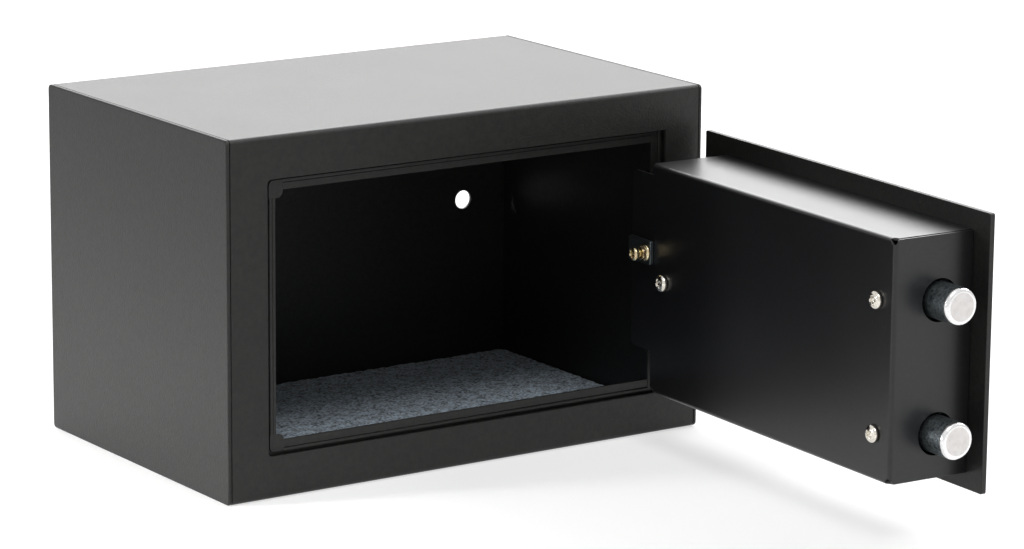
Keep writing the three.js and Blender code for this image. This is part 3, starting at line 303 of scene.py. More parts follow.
def piece(name, points, faces, finishes, body, slot, *nodes, outward=None):
    """A named object with its mesh from points in millimetres, its doubles merged and its faces
    turned outwards. An open sheet's largest face looks along outward. The piece rides on a body
    and takes the place of the frame's own solids of those names."""
    mesh = bpy.data.meshes.new(name)
    place = (np.asarray(points, float) - row_origin) * mm
    mesh.from_pydata(place, [], [[int(i) for i in face] for face in faces])
    built = bmesh.new()
    built.from_mesh(mesh)
    bmesh.ops.remove_doubles(built, verts=built.verts, dist=1e-6)
    bmesh.ops.recalc_face_normals(built, faces=built.faces)
    if outward is not None:
        largest = max(built.faces, key=lambda face: face.calc_area())
        if largest.normal.dot(Vector(outward)) < 0:
            bmesh.ops.reverse_faces(built, faces=built.faces)
    built.to_mesh(mesh)
    built.free()
    mesh.polygons.foreach_set("use_smooth", np.ones(len(mesh.polygons), bool))
    for finish in finishes if isinstance(finishes, list) else [finishes]:
        mesh.materials.append(finish)
    mesh.update()
    made = bpy.data.objects.new(name, mesh)
    bpy.context.scene.collection.objects.link(made)
    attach(made, body)
    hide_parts(*nodes)
    return made


def shade_evenly(made):
    """Flat faces shade flat and rounds shade round, as the large faces lead the normals."""
    even = made.modifiers.new("even_shading", "WEIGHTED_NORMAL")
    even.weight = 100
    even.use_face_influence = True


def ease_edges(made, width, angle):
    """Every edge of a solid that turns by more than so many degrees is rounded off."""
    eased = made.modifiers.new("eased_edges", "BEVEL")
    eased.width = width * mm
    eased.segments = 2
    eased.limit_method = "ANGLE"
    eased.angle_limit = radians(angle)
    eased.use_clamp_overlap = False
    eased.face_strength_mode = "FSTR_ALL"
    shade_evenly(made)


def give_thickness(made, thickness, ease, offset=-1.0):
    """The sheet gets its thickness behind its outer face, or to both sides alike where offset is
    0, and its cut edges are eased."""
    sheet = made.modifiers.new("sheet", "SOLIDIFY")
    sheet.thickness = thickness * mm
    sheet.offset = offset
    sheet.use_even_offset = True
    ease_edges(made, ease, angle=50)


cabinet_half, cabinet_height, cabinet_depth = 155.0, 198.0, 195.0
wrap_half, wrap_bend, wrap_sheet = 153.0, 2.6, 2.0
seam, butt_gap = 0.35, 0.2
opening = (-130.0, 23.5, 130.0, 174.5)
opening_rounds = (2.5, 1.2, 1.2, 2.5)
front_run = cabinet_height - 2 * wrap_bend
top_run = cabinet_depth - 2 * wrap_bend
bottom_half = cabinet_depth / 2 - wrap_bend
corner_bend = (-pi / 2, wrap_bend)
wrap_legs = [
    (0, bottom_half), corner_bend, (0, front_run), corner_bend, (0, top_run),
    corner_bend, (0, front_run), corner_bend, (0, bottom_half - butt_gap),
]
wrap_length = sum(leg_length(*leg) for leg in wrap_legs)
front_start = bottom_half + wrap_bend * pi / 2
rear_start = front_start + front_run + top_run + wrap_bend * pi


def doorway_ring(inset):
    """The doorway's outline drawn in by inset, with its corners' rounds."""
    x0, z0, x1, z1 = opening
    rounds = [max(radius - inset, 0.1) for radius in opening_rounds]
    return rounded_rectangle(x0 + inset, z0 + inset, x1 - inset, z1 - inset, rounds)


rear_hole_x, rear_hole_z, rear_hole_radius = 123.0, 101.0, 5.5
rear_hole_run = rear_start + cabinet_height - wrap_bend - rear_hole_z
rear_holes = [circle(x, rear_hole_run, rear_hole_radius) for x in (-rear_hole_x, rear_hole_x)]
beside_hole = (-12, 12)  # cuts that keep a hole's narrow triangles off the rest of the face
round_holes_x = [side * (rear_hole_x + aside) for side in (-1, 1) for aside in beside_hole]
round_holes_run = [rear_hole_run + aside for aside in beside_hole]
wrap_side = wrap_half - seam
wrap_outline = [(-wrap_side, 0), (wrap_side, 0), (wrap_side, wrap_length), (-wrap_side, wrap_length)]
doorway = doorway_ring(0.0) + [0.0, front_start - wrap_bend]
flat, faces = flat_pattern(
    wrap_outline, [doorway, *rear_holes], round_holes_x, fold_lines(wrap_legs) + round_holes_run
)
wrap_points = np.c_[flat[:, 0], bent_strip(flat[:, 1], wrap_legs, (cabinet_depth / 2, 0.0), pi)]
cabinet = piece(
    "cabinet_wrap_dressed", wrap_points, faces, black_powder, "cabinet", "black_powder",
    "cabinet_wrap", outward=(0, -1, 0),
)
give_thickness(cabinet, wrap_sheet, ease=0.4)


# Doorway ledge
# A frame of thin steel angle, spot-welded behind the doorway's edge, with a dark gap left round
# it. Its four bars turn their outer margins forward in a small hem, and the door shuts on them.
def ring_faces(rows, count, closed=False):
    """Faces that join each ring of points to the next, with a flat face on the first and last
    ring, or with the last ring joined to the first."""
    row, column = np.meshgrid(np.arange(rows if closed else rows - 1), np.arange(count), indexing="ij")
    beside = (column + 1) % count
    below = (row + 1) % rows
    here, there = row * count, below * count
    quads = np.stack([here + column, here + beside, there + beside, there + column], -1)
    faces = [tuple(face) for face in quads.reshape(-1, 4)]
    if not closed:
        faces += [tuple(range(count)), tuple(range((rows - 1) * count, rows * count))]
    return faces


ledge_width, recess_depth, tab_reach = 7.5, 3.5, 10.9
flange_end, flange_face, ledge_rear, weld_gap = 3.0, 4.2, 5.0, 0.02
angle_section = [
    (-2.6, wrap_sheet - weld_gap), (-1.6, wrap_sheet - weld_gap), (-1.6, flange_face),
    (flange_end, flange_face), (flange_end, ledge_rear), (-2.6, ledge_rear),
]
rings = []
for inset, depth in angle_section:
    ring = doorway_ring(inset)
    rings.append(np.c_[ring[:, 0], np.full(len(ring), depth), ring[:, 1]])
ledge_points = [np.vstack(rings)]
ledge_faces = ring_faces(len(rings), len(rings[0]), closed=True)
hem_section = np.array([
    (0, 3.95), (0.05, 3.4), (0.4, 3.1), (1.5, 3.08), (1.95, 3.3), (2.05, 3.9), (2.45, recess_depth)
])
x0, z0, x1, z1 = opening
free_gap, bar_gap, end_gap = 2.8, 0.8, 0.2
narrow_width = ledge_width - 0.7
after_tab, before_hinge = x0 + tab_reach, x1 - ledge_width - end_gap
bars = [
    ((x0, z0 + tab_reach), (x0, z1 - tab_reach), (1, 0), free_gap, narrow_width),
    ((after_tab, z1), (before_hinge, z1), (0, -1), bar_gap, narrow_width),
    ((x1, z0 + bar_gap), (x1, z1 - bar_gap), (-1, 0), bar_gap, ledge_width),
    ((after_tab, z0), (before_hinge, z0), (0, 1), bar_gap, ledge_width),
]
step, front = flange_end + weld_gap, flange_face - weld_gap
for start, stop, inward, gap, width in bars:
    rear = [(width, recess_depth), (width, ledge_rear), (step, ledge_rear), (step, front), (gap, front)]
    section = np.vstack([hem_section + [gap, 0], rear])
    ends = [
        np.c_[x + inward[0] * section[:, 0], section[:, 1], z + inward[1] * section[:, 0]]
        for x, z in (start, stop)
    ]
    first = sum(len(part) for part in ledge_points)
    ledge_points += ends
    ledge_faces += [tuple(first + i for i in face) for face in ring_faces(2, len(section))]
ledge = piece(
    "doorway_ledge_dressed", np.vstack(ledge_points), ledge_faces, black_powder, "cabinet",
    "black_powder", "cabinet_wrap",
)
ease_edges(ledge, width=0.1, angle=35)


# Side panels
# Two flat panels of the same steel close the ends of the wrap. They are welded in from inside and
# their outer edges are ground, so that a fine groove is left beside the wrap. A shallow boss on
# each panel's inner face fills the wrap's mouth.
def edged_plate(box, radii, profile):
    """A plate's surface: its rounded-rectangle outline, drawn in by each row's inset and set at
    that row's depth, closed by a flat face at both ends. Gives (u, v, depth) and faces."""
    u0, v0, u1, v1 = box
    rings = [
        rounded_rectangle(u0 + i, v0 + i, u1 - i, v1 - i, [max(radius - i, 0.05) for radius in radii])
        for i, _ in profile
    ]
    count = len(rings[0])
    points = np.vstack([np.c_[ring, np.full(count, depth)] for ring, (_, depth) in zip(rings, profile)])
    return points, ring_faces(len(rings), count)


def eased_edge(sheet, outer, inner):
    """Insets and depths across a plate's edge. On both sides it is a quarter round of its size s:
    an inset of s(1 - sin t) at a depth of s(1 - cos t) from that side."""
    turn = np.linspace(0, pi / 2, 5)
    front = np.c_[outer * (1 - np.sin(turn)), outer * (1 - np.cos(turn))]
    rear = np.c_[inner * (1 - np.cos(turn)), sheet - inner * (1 - np.sin(turn))]
    return np.vstack([front, rear])


panel_sheet, boss_height = 2.0, 0.5
boss = [(1.5, panel_sheet), (1.6, panel_sheet + boss_height)]
panel_edge = np.vstack([eased_edge(panel_sheet, 0.9, 0.3), boss])
for side, out in (("left", -1), ("right", 1)):
    flat, faces = edged_plate((0, 0, cabinet_depth, cabinet_height), [wrap_bend] * 4, panel_edge)
    points = np.c_[out * (cabinet_half - flat[:, 2]), flat[:, :2]]
    panel = piece(
        f"side_panel_{side}_dressed", points, faces, black_powder, "cabinet", "black_powder",
        f"side_panel_{side}",
    )
    shade_evenly(panel)


# Corner tabs
# Two small square plates that close the ledge's corners on the free side. They are stamped from
# thin steel, spot-welded in, and rounded off towards the opening.
tab_face, tab_sheet = 3.3, 0.9
tab_box = (2.7, 1.2, tab_reach + 0.6, tab_reach + 0.1)
tab_rounds = [2.8, 0.4, 3.3, 0.4]
for end, corner, up in (("top", z1, -1), ("bottom", z0, 1)):
    flat, faces = edged_plate(tab_box, tab_rounds, eased_edge(tab_sheet, 0.25, 0.1))
    points = np.c_[x0 + flat[:, 0], tab_face + flat[:, 2], corner + up * flat[:, 1]]
    tab = piece(
        f"corner_tab_{end}_dressed", points, faces, black_powder, "cabinet", "black_powder",
        f"corner_tab_{end}",
    )
    shade_evenly(tab)


# Floor mat
# A loose mat of needle felt, cut to the floor with rounded corners. Short pale and dark fibres
# are matted together, so its face is uneven and mottled.
mat_width, mat_depth, mat_corner, mat_top = 304.0, 189.0, 6.0, 6.0


def to_rounded(across, limit, other, other_limit, radius):
    """Draws a grid's corner squares in to quarter discs: a point at (p, q) of the unit square
    goes to p times the root of 1 - q*q/2."""
    p = np.clip((np.abs(across) - limit + radius) / radius, 0, 1)
    q = np.clip((np.abs(other) - other_limit + radius) / radius, 0, 1)
    pulled = np.sign(across) * (limit - radius + radius * p * np.sqrt(1 - q * q / 2))
    return np.where(p > 0, pulled, across)


def pile_height(fibres, edge):
    """The mat's top, raised and lowered by the fibres' noise between its bounds, and rounded off
    by a drop that fades with the distance d from the edge as e^(-d/width)."""
    rise, drop, width = 0.3, 0.9, 1.2
    return mat_top + rise * np.clip(fibres * 2, -1, 1) - drop * np.exp(-edge / width)


columns, rows = 229, 143
a, b = np.meshgrid(
    np.linspace(-mat_width / 2, mat_width / 2, columns),
    np.linspace(-mat_depth / 2, mat_depth / 2, rows),
    indexing="ij",
)
mat_x = to_rounded(a, mat_width / 2, b, mat_depth / 2, mat_corner)
mat_y = to_rounded(b, mat_depth / 2, a, mat_width / 2, mat_corner)
fibres = np.random.default_rng(7).normal(size=(columns, rows))
for _ in range(2):
    fibres = (fibres + np.roll(fibres, 1, 0) + np.roll(fibres, 1, 1) + np.roll(fibres, (1, 1), (0, 1))) / 4
edge = np.minimum(mat_width / 2 - np.abs(a), mat_depth / 2 - np.abs(b))
mat_z = pile_height(fibres, edge)
index = np.arange(columns * rows).reshape(columns, rows)
mat_faces = np.stack([index[:-1, :-1], index[1:, :-1], index[1:, 1:], index[:-1, 1:]], -1).reshape(-1, 4)
felt, nodes, links, shader, place = surface("grey_felt")
tufts = noise(nodes, links, place, size=0.0013, detail=6.0, stretch=(0.8, 1.0, 1.0))
blots = noise(nodes, links, place, size=0.006, detail=4.0)
mottle = nodes.new("ShaderNodeMath")
mottle.operation = "MULTIPLY_ADD"
mottle.inputs[1].default_value = 0.45
links.new(blots, mottle.inputs[0])
links.new(tufts, mottle.inputs[2])
fibre_colour = spread(
    nodes, links, mottle.outputs[0], (0.039, 0.061, 0.092), (0.75, 0.88, 1.0), start=0.54, end=0.845
)
links.new(fibre_colour, shader.inputs["Base Color"])
shader.inputs["Roughness"].default_value = 1.0
shader.inputs["Specular IOR Level"].default_value = 0.1
shader.inputs["Sheen Weight"].default_value = 0.35
shader.inputs["Sheen Roughness"].default_value = 0.5
raised(nodes, links, shader, tufts, depth=0.0006, strength=0.8)
mat_points = np.c_[mat_x.ravel(), cabinet_depth / 2 + mat_y.ravel(), mat_z.ravel()]
mat = piece(
    "floor_mat_dressed", mat_points, mat_faces, felt, "cabinet", "grey_felt", "floor_mat",
    outward=(0, 0, 1),
)
pile = mat.modifiers.new("pile", "SOLIDIFY")
pile.thickness = 3.3 * mm
pile.offset = -1.0


# Strike channel and hinge brackets
# Angles of the same black-coated steel, spot-welded behind the front where the bolts catch and
# where the pin is held. The pin, its clip and its washer are bare turned steel and brass.
def bare_metal(name, colour, roughness, line, strength, stretch=(1.0, 1.0, 1.0), tone=None):
    """Worked metal: fine lines, line metres wide and drawn out by stretch, in its tone, in its
    sheen and in relief. The tone is a darker shade of the colour where none is given."""
    material, nodes, links, shader, place = surface(name)
    shader.inputs["Metallic"].default_value = 1.0
    lines = noise(nodes, links, place, line, 3.0, stretch)
    tone = tone or tuple(channel * 0.72 for channel in colour)
    links.new(spread(nodes, links, lines, tone, colour, 0.25, 0.65), shader.inputs["Base Color"])
    links.new(spread(nodes, links, lines, roughness * 1.35, roughness * 0.8), shader.inputs["Roughness"])
    raised(nodes, links, shader, lines, line * 0.2, strength)
    return material


def finish_solids(names, material):
    """The frame's own solids of these names stay, and get this finish."""
    for name in names:
        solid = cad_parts[name]
        solid.data.materials.clear()
        solid.data.materials.append(material)


bright_steel = bare_metal(
    "bright_steel", (0.52, 0.53, 0.54), roughness=0.34, line=0.0006, strength=0.15,
    stretch=(1.0, 1.0, 0.2),
)
brass = bare_metal("brass", (0.72, 0.50, 0.20), roughness=0.30, line=0.0006, strength=0.12)
finish_solids(["strike_channel", "hinge_bracket_top", "hinge_bracket_bottom"], black_powder)
finish_solids(["hinge_pin", "pin_clip"], bright_steel)
finish_solids(["hinge_washer"], brass)


# Door plate
# A flush plate of 3 mm steel, laser-cut with small corner rounds. The hinge arm and the bolt
# guide are welded to its back, and the knob and the key lock stand on its front.
pivot, door_angle = np.array([145.8, 10.0]), radians(87.5)
door_left, door_right, door_low, door_high, door_corner = -129.1, 128.2, 24.4, 173.6, 1.5
knob_x, lock_x, lock_z = -35.0, 35.0, 99.0
bush_hole, barrel_hole = 6.8, 9.8


def swung_open(points):
    """Points of the shut door, turned about the hinge pin to where the door stands open: (x, y)
    from the pin goes to (x cos a - y sin a, x sin a + y cos a)."""
    x, y = (np.asarray(points, float)[:, :2] - pivot).T
    turned = np.c_[x * cos(door_angle) - y * sin(door_angle), x * sin(door_angle) + y * cos(door_angle)]
    return np.c_[turned + pivot, np.asarray(points, float)[:, 2]]


plate_outline = rounded_rectangle(door_left, door_low, door_right, door_high, [door_corner] * 4)
plate_holes = [circle(knob_x, lock_z, bush_hole), circle(lock_x, lock_z, barrel_hole)]
flat, faces = flat_pattern(plate_outline, plate_holes)
plate_points = swung_open(np.c_[flat[:, 0], np.zeros(len(flat)), flat[:, 1]])
door_plate = piece(
    "door_plate_dressed", plate_points, faces, black_powder, "door", "black_powder", "door_plate",
    outward=(1, 0, 0),
)
give_thickness(door_plate, thickness=3.0, ease=0.35)


# Hinge arm and bolt guide
# The arm is a strip of 2.5 mm steel, welded to the plate, folded up under the cover's tongue, led
# round the frame and rolled about the pin. The guide is a plain bright channel for the bolts.
arm_corners = [(66.2, 4.55), (82.2, 4.55), (82.2, 49.95), (125.7, 49.95), (150.35, 30.5), (150.35, 10.0)]
arm_bend, knuckle_bend, knuckle_turn = 2.75, 4.55, -5.3


def legs_along(corners, radius):
    """Straight runs and bends of a strip whose middle line is led through the corners, each
    corner rounded by the radius: a bend of angle t takes radius times tan(t/2) off both runs."""
    runs = np.diff(np.array(corners, float), axis=0)
    headings = np.arctan2(runs[:, 1], runs[:, 0])
    turns = np.append((np.diff(headings) + pi) % (2 * pi) - pi, 0.0)
    trims = radius * np.abs(np.tan(turns / 2))
    straights = np.hypot(*runs.T) - trims - np.append(0.0, trims[:-1])
    legs = []
    for straight, bend in zip(straights, turns):
        legs += [(0, straight), (bend, radius)] if bend else [(0, straight)]
    return legs


arm_legs = legs_along(arm_corners, arm_bend) + [(knuckle_turn, knuckle_bend)]
arm_length = sum(leg_length(*leg) for leg in arm_legs)
arm_low, arm_high = 65.0, 149.0
arm_outline = [(0, arm_low), (arm_length, arm_low), (arm_length, arm_high), (0, arm_high)]
flat, faces = flat_pattern(arm_outline, u_lines=fold_lines(arm_legs)[1:-1])
arm_points = np.c_[bent_strip(flat[:, 0], arm_legs, arm_corners[0], 0.0), flat[:, 1]]
hinge_arm = piece(
    "hinge_arm_dressed", swung_open(arm_points), faces, black_powder, "door", "black_powder",
    "hinge_arm",
)
give_thickness(hinge_arm, thickness=2.5, ease=0.25, offset=0.0)
finish_solids(["bolt_guide"], bright_steel)


# Lock cover
# A pan folded from 1.5 mm black-coated sheet: its back, two long walls, an end wall with the bolt
# holes, and a short one below the tongue that runs over the arm. Round reliefs part the walls.
black_cover = powder_coat(
    "black_cover", (0.004, 0.004, 0.005), (0.008, 0.008, 0.009),
    grain=0.0010, strength=0.16, gloss=(0.315, 0.335), specular=0.5,
)
cover_hinge, cover_back, cover_seat, cover_middle = 107.8, 53.0, 3.3, 98.0
cover_bend, cover_length, cover_half = 2.2, 223.6, 65.0
near_fold, far_fold, side_fold = cover_bend, cover_length - cover_bend, cover_half - cover_bend
wall_run = cover_back - cover_seat - cover_bend
wall_legs = [(pi / 2, cover_bend), (0, wall_run)]
wall_length = cover_bend * pi / 2 + wall_run
wall_trim, corner_trim = 1.7, 0.2
wall_start, wall_end = wall_trim, cover_length - wall_trim
tongue_end, tongue_low, tongue_high, tongue_slit = -17.9, -41.0, 59.0, 2.0
tongue_rounds = [4.0, 0, 0, 4.0]
slit_low, slit_high = tongue_low - tongue_slit, tongue_high + tongue_slit
far_edge, near_edge, side_edge = far_fold + wall_length, near_fold - wall_length, side_fold + wall_length
bolt_depth, bolt_heights, bolt_hole = 23.5, (128.0, 57.0), 11.5
relief_radius, relief_shift = 2.8, 0.4
relief_lean = np.degrees(np.arcsin(relief_shift / relief_radius))


def relief(u, v, start):
    """Points round a bend relief, its middle plus its radius times (cos t, sin t), clockwise from
    the start angle in degrees: three quarters of a turn, and the lean at which the circle meets
    the wall's edge."""
    turn = np.radians(start - np.linspace(0, 270 + relief_lean, 16))
    return np.c_[u + relief_radius * np.cos(turn), v + relief_radius * np.sin(turn)]


tongue_outline = rounded_rectangle(tongue_end, tongue_low, near_fold, tongue_high, tongue_rounds)
lower_half, upper_half = np.split(tongue_outline, 2)
cover_outline = np.vstack([
    lower_half,
    [(near_fold, slit_low), (near_edge, slit_low), (near_edge, -cover_half)],
    relief(wall_start, relief_shift - cover_half, 180 + relief_lean),
    [(wall_start, -side_edge), (wall_end, -side_edge)],
    relief(wall_end, relief_shift - cover_half, -90),
    [(far_edge, -cover_half), (far_edge, cover_half)],
    relief(wall_end, cover_half - relief_shift, relief_lean),
    [(wall_end, side_edge), (corner_trim, side_edge), (corner_trim, slit_high), (near_fold, slit_high)],
    upper_half,
])
bolt_u = far_fold + cover_bend * pi / 2 + cover_back - cover_bend - bolt_depth
cover_holes = [circle(bolt_u, z - cover_middle, bolt_hole) for z in bolt_heights]
folds = fold_lines(wall_legs)
flat, faces = flat_pattern(
    cover_outline, cover_holes,
    [near_fold - d for d in folds] + [far_fold + d for d in folds],
    [-side_fold - d for d in folds] + [side_fold + d for d in folds],
)
in_tongue = (flat[:, 1] > tongue_low - 1) & (flat[:, 1] < slit_high + 1)
past_far = np.maximum(flat[:, 0] - far_fold, 0)
past_near = np.where(in_tongue, 0, np.maximum(near_fold - flat[:, 0], 0))
past_side = np.maximum(np.abs(flat[:, 1]) - side_fold, 0)
out_far, down_far = bent_strip(past_far, wall_legs, (0.0, 0.0), 0.0).T
out_near, down_near = bent_strip(past_near, wall_legs, (0.0, 0.0), 0.0).T
out_side, down_side = bent_strip(past_side, wall_legs, (0.0, 0.0), 0.0).T
along = flat[:, 0] - past_far + out_far + past_near - out_near
across = np.sign(flat[:, 1]) * (np.abs(flat[:, 1]) - past_side + out_side)
cover_points = np.c_[
    cover_hinge - along, cover_back - down_far - down_near - down_side, cover_middle + across
]
lock_cover = piece(
    "lock_cover_dressed", swung_open(cover_points), faces, black_cover, "door", "black_cover",
    "lock_cover", outward=(-1, 0, 0),
)
give_thickness(lock_cover, thickness=1.5, ease=0.15)


# Bolts
# Two turned steel bars with a satin end and a bright round edge, their shanks dark and mottled.
# Each is necked down behind its shoulder and held to the carrier by a nut.
chrome = bare_metal(
    "chrome", (0.88, 0.88, 0.88), roughness=0.20, line=0.0008, strength=0.03, tone=(0.78, 0.78, 0.78)
)
bolt_face = bare_metal(
    "bolt_face", (0.70, 0.68, 0.67), roughness=0.50, line=0.0030, strength=0.01,
    tone=(0.68, 0.66, 0.65),
)
bolt_shank = bare_metal(
    "bolt_shank", (0.40, 0.46, 0.48), roughness=0.34, line=0.0017, strength=0.55,
    tone=(0.006, 0.010, 0.012),
)
bolt_end, bolt_shoulder, bolt_radius, bolt_round = -134.1, -78.6, 10.0, 2.4


def turned_shape(radius, height, steps, closed=False):
    """A turned shape: the point in row i and step j lies at (r cos t, r sin t, h), where r and h
    come from the profile's row, or differ round it, and t is step j's share of a turn."""
    turn = np.arange(steps) * 2 * pi / steps
    radius, height, turn = np.broadcast_arrays(radius, height, turn)
    points = np.stack([radius * np.cos(turn), radius * np.sin(turn), height], -1).reshape(-1, 3)
    return points, ring_faces(len(radius), steps, closed)


def eased_line(corners, ease, steps=4, closed=False):
    """A profile through its corners, each cut back by its ease along both sides and rounded by
    the curve (1-t)^2 a + 2t(1-t) c + t^2 b between the cuts a and b and the corner c."""
    corners = np.asarray(corners, float)
    t = np.linspace(0, 1, steps)[:, None]
    before, after = np.roll(corners, 1, 0), np.roll(corners, -1, 0)
    line = []
    for number, (c, size) in enumerate(zip(corners, ease)):
        if size == 0 or (not closed and number in (0, len(corners) - 1)):
            line.append(c[None])
            continue
        a = c + (before[number] - c) / np.hypot(*(before[number] - c)) * size
        b = c + (after[number] - c) / np.hypot(*(after[number] - c)) * size
        line.append((1 - t) ** 2 * a + 2 * t * (1 - t) * c + t ** 2 * b)
    return np.vstack(line)


bolt_length, tail_radius, tail_length = bolt_shoulder - bolt_end, 4.0, 9.5
bolt_profile = eased_line(
    [(4.0, 0), (bolt_radius, 0), (bolt_radius, bolt_length), (tail_radius, bolt_length),
     (tail_radius, bolt_length + tail_length)],
    [0, bolt_round, 0.5, 0.3, 0], steps=9,
)
bolt_steps, rim, shank, face = 96, 0, 1, 2
turned, faces = turned_shape(bolt_profile[:, :1], bolt_profile[:, 1:], bolt_steps)
row = np.repeat(np.arange(len(bolt_profile) - 1), bolt_steps)
finish = np.where(bolt_profile[row, 1] > bolt_round - 0.1, shank, rim)
finish[bolt_profile[row + 1, 0] < bolt_radius - bolt_round + 0.1] = face
finish = np.append(finish, [face, shank]).astype(np.int32)
for end, height in zip(("top", "bottom"), bolt_heights):
    points = np.c_[bolt_end + turned[:, 2], bolt_depth + turned[:, 0], height + turned[:, 1]]
    made = piece(
        f"bolt_{end}_dressed", swung_open(points), faces, [chrome, bolt_shank, bolt_face], "bolts",
        "chrome", f"bolt_{end}",
    )
    made.data.polygons.foreach_set("material_index", finish)
    shade_evenly(made)


# Lock works
# Carrier, guide studs, crank, cam and dead slide inside the cover: stamped and turned steel parts,
# with zinc-plated nuts and a brass bush.
zinc = bare_metal("zinc", (0.115, 0.135, 0.140), roughness=0.40, line=0.0012, strength=0.10)
steel_works = [
    "bolt_carrier", "dead_slide", "crank", "lock_cam", "knob_shaft",
    "carrier_stud_low", "carrier_stud_high", "dead_stud_near", "dead_stud_far",
]
finish_solids(steel_works, bright_steel)
finish_solids(["bolt_nut_top", "bolt_nut_bottom", "lock_nut"], zinc)
finish_solids(["shaft_bush"], brass)


# Cover screws
# Three nickel-plated pan-head screws with a cross recess. One holds the cover to the hinge arm,
# and two hold its free end to the bolt guide.
def eased_step(value):
    """Runs from 0 to 1 as the value does, level at both ends: 3v^2 - 2v^3."""
    v = np.clip(value, 0, 1)
    return v * v * (3 - 2 * v)


def set_in_door(turned, centre, seat=0.0):
    """A turned shape's points with its axis square to the door: it starts at the depth seat and
    passes through the shut door at centre, and then it swings open with the door."""
    return swung_open(np.c_[centre[0] + turned[:, 0], seat + turned[:, 2], centre[1] + turned[:, 1]])


def pan_head(centre, seat, radius, height, length, lean):
    """A pan head and shank in one turned grid. The crown's height falls off as the root of
    1 - (r/R)^2.4, less the cross recess, whose depth steps down where the lesser of the two
    distances from its arms' middle lines is under half their width."""
    cross_half, cross_reach, cross_depth = 0.115 * radius + 0.32, 0.56 * radius, 1.5
    inner = np.linspace(0.02, 0.66, 34) * radius
    outer = radius * (1 - 0.34 * np.linspace(1, 0, 12)[1:] ** 2)
    r = np.concatenate([inner, outer])[:, None]
    steps = 120
    turn = np.arange(steps) * 2 * pi / steps + lean
    crown = height * (0.34 + 0.66 * np.sqrt(1 - np.clip(r / radius, 0, 1) ** 2.4))
    u, v = np.abs(r * np.cos(turn)), np.abs(r * np.sin(turn))
    arm = eased_step((cross_half - np.minimum(u, v)) / 0.3)
    reach = eased_step((cross_reach - np.maximum(u, v)) / 0.5)
    top = crown - cross_depth * arm * reach * (1 - 0.16 * np.maximum(u, v))
    edge = [(radius, 0.25), (radius - 0.1, 0.05), (radius - 0.3, 0)]
    side = np.array(edge + [(thread_radius, 0), (thread_radius, -length)])
    side_shape = (len(side), steps)
    radii = np.vstack([np.broadcast_to(r, top.shape), np.broadcast_to(side[:, :1], side_shape)])
    heights = np.vstack([top, np.broadcast_to(side[:, 1:], side_shape)])
    turned, faces = turned_shape(radii, heights, steps)
    return set_in_door(turned, centre, seat), faces


nickel = bare_metal("nickel", (0.86, 0.82, 0.74), roughness=0.17, line=0.0007, strength=0.05)
thread_radius = 2.5
screw_seat, screw_radius, screw_height, screw_length = 53.3, 4.8, 3.2, 7.0
cover_screws = [
    ("hinge", (94.7, 98.0), 0.5),
    ("top", (-101.5, 128.8), 0.2),
    ("bottom", (-101.5, 57.8), 0.9),
]
for name, centre, lean in cover_screws:
    points, faces = pan_head(centre, screw_seat, screw_radius, screw_height, screw_length, lean)
    made = piece(
        f"cover_screw_{name}_dressed", points, faces, nickel, "door", "nickel", f"cover_screw_{name}"
    )
    shade_evenly(made)


# Clamp on the tongue
# A small grey plate, a yellow-passivated flange nut and a long screw that stands proud of it. They
# pinch the tongue to the hinge arm.
yellow_zinc = bare_metal(
    "yellow_zinc", (0.72, 0.66, 0.42), roughness=0.22, line=0.0022, strength=0.06,
    tone=(0.50, 0.31, 0.18),
)
clamp_centre, clamp_box = (108.5, 113.0), (104.2, 106.25, 125.7, 119.75)
clamp_sheet, clamp_corner, clamp_back = 2.2, 1.2, 55.5
nut_seat, head_seat = 55.8, 62.6
flat, faces = edged_plate(clamp_box, [clamp_corner] * 4, eased_edge(clamp_sheet, 0.4, 0.2))
clamp_plate = piece(
    "clamp_plate_dressed", swung_open(np.c_[flat[:, 0], clamp_back - flat[:, 2], flat[:, 1]]), faces,
    zinc, "door", "zinc", "clamp_plate",
)
shade_evenly(clamp_plate)


def hexed(radius, height, turn):
    """The nut's radius round its profile. Above the flange and outside the bore it is the lesser of
    the hexagon's, half the flats over the cosine of the angle from the nearest flat's middle, and
    the chamfer's, the corners' radius less 0.9 of the height above where the chamfer starts."""
    half_flats, corners, flange_top, bore, chamfer = 3.6, 4.2, 1.4, 3.0, 3.0
    hexagon = half_flats / np.cos((turn + pi / 6) % (pi / 3) - pi / 6)
    cone = corners - 0.9 * np.maximum(height - chamfer, 0)
    return np.where((height > flange_top) & (radius > bore), np.minimum(hexagon, cone), radius)


nut_profile = eased_line(
    [(2.55, 0), (4.7, 0), (4.7, 0.8), (4.0, 1.45), (4.0, 3.1), (3.75, 3.6), (2.9, 3.6), (2.55, 3.2)],
    [0.1, 0.15, 0.3, 0.15, 0, 0.1, 0.1, 0.1], closed=True,
)
nut_steps = 96
nut_turn = np.arange(nut_steps) * 2 * pi / nut_steps
nut_radius = hexed(nut_profile[:, :1], nut_profile[:, 1:], nut_turn)
turned, faces = turned_shape(nut_radius, nut_profile[:, 1:], nut_steps, closed=True)
nut = piece(
    "clamp_nut_dressed", set_in_door(turned, clamp_centre, nut_seat), faces, yellow_zinc, "door",
    "yellow_zinc", "clamp_nut",
)
shade_evenly(nut)
points, faces = pan_head(clamp_centre, head_seat, radius=3.8, height=2.6, length=15.5, lean=0.4)
clamp_screw = piece(
    "clamp_screw_dressed", points, faces, yellow_zinc, "door", "yellow_zinc", "clamp_screw"
)
shade_evenly(clamp_screw)


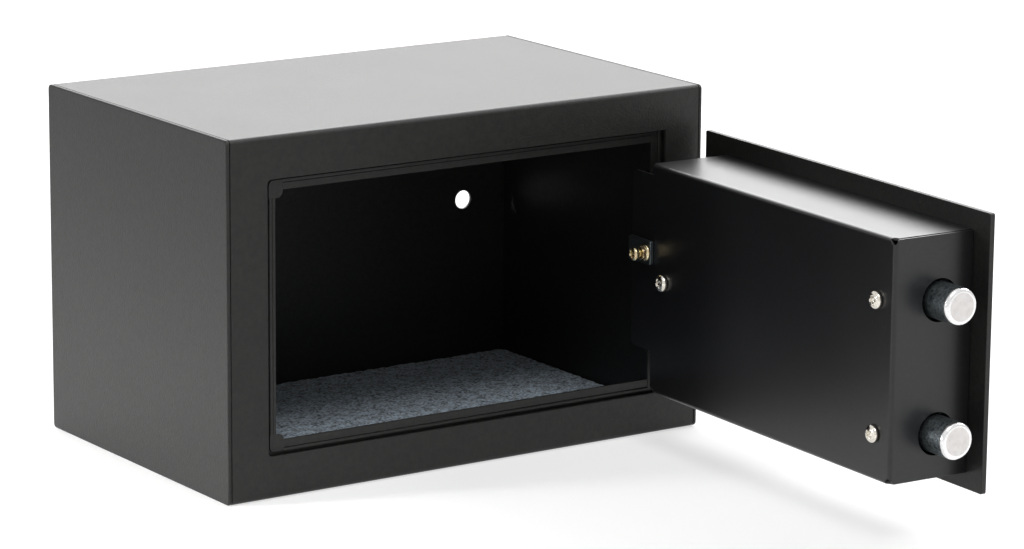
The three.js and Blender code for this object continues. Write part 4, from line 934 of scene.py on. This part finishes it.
# Knob
# A moulded black knob with twelve flutes and a dished face. It turns on a chromed rose that hides
# the bush, and draws the bolts back.
knob_plastic = powder_coat(
    "black_plastic", (0.008, 0.008, 0.008), (0.012, 0.012, 0.012),
    grain=0.0006, strength=0.05, gloss=(0.30, 0.38), specular=0.5,
)
knob_profile = eased_line(
    [(4.3, -5.0), (4.3, -2.3), (18.0, -2.3), (18.0, -22.3), (13.5, -22.3), (12.5, -21.5), (0.5, -21.3)],
    [0, 0.2, 1.2, 1.5, 0.5, 0.5, 0], steps=6,
)


def fluted(radius, turn):
    """The knob's radius less its flutes, which are half their depth times 1 - cos(12 t) deep at the
    angle t, and ease in over 3 mm beyond the rim of the dish."""
    flutes, half_depth, dish_rim, ease_in = 12, 0.65, 13.5, 3.0
    return radius - half_depth * (1 - np.cos(flutes * turn)) * eased_step((radius - dish_rim) / ease_in)


knob_steps = 240
knob_turn = np.arange(knob_steps) * 2 * pi / knob_steps
knob_radius = fluted(knob_profile[:, :1], knob_turn)
turned, faces = turned_shape(knob_radius, knob_profile[:, 1:], knob_steps)
knob = piece(
    "knob_dressed", set_in_door(turned, (knob_x, lock_z)), faces, knob_plastic, "knob",
    "black_plastic", "knob",
)
shade_evenly(knob)
rose_profile = eased_line(
    [(6.8, -0.3), (20.0, -0.3), (20.0, -1.8), (6.8, -1.8)], [0.1, 0.1, 0.7, 0.2], closed=True
)
dull_chrome = bare_metal(
    "dull_chrome", (0.50, 0.50, 0.51), roughness=0.30, line=0.0008, strength=0.04
)
turned, faces = turned_shape(rose_profile[:, :1], rose_profile[:, 1:], 128, closed=True)
rose = piece(
    "knob_rose_dressed", set_in_door(turned, (knob_x, lock_z)), faces, dull_chrome, "door", "chrome",
    "knob_rose",
)
shade_evenly(rose)


# Key lock
# A chromed barrel with a bevelled flange on the door's front, round a brass plug with its keyway.
# Its cam lifts the dead slide that blocks the bolts.
barrel_profile = eased_line(
    [(6.8, -2.3), (11.5, -2.3), (12.5, -1.3), (12.5, -0.3), (9.5, -0.3), (9.5, 27.0), (6.8, 27.0)],
    [0.25, 0.2, 0.3, 0.1, 0.1, 0.3, 0.1], closed=True,
)
turned, faces = turned_shape(barrel_profile[:, :1], barrel_profile[:, 1:], 128, closed=True)
barrel = piece(
    "lock_barrel_dressed", set_in_door(turned, (lock_x, lock_z)), faces, dull_chrome, "door",
    "chrome", "lock_barrel",
)
shade_evenly(barrel)
finish_solids(["lock_plug"], brass)
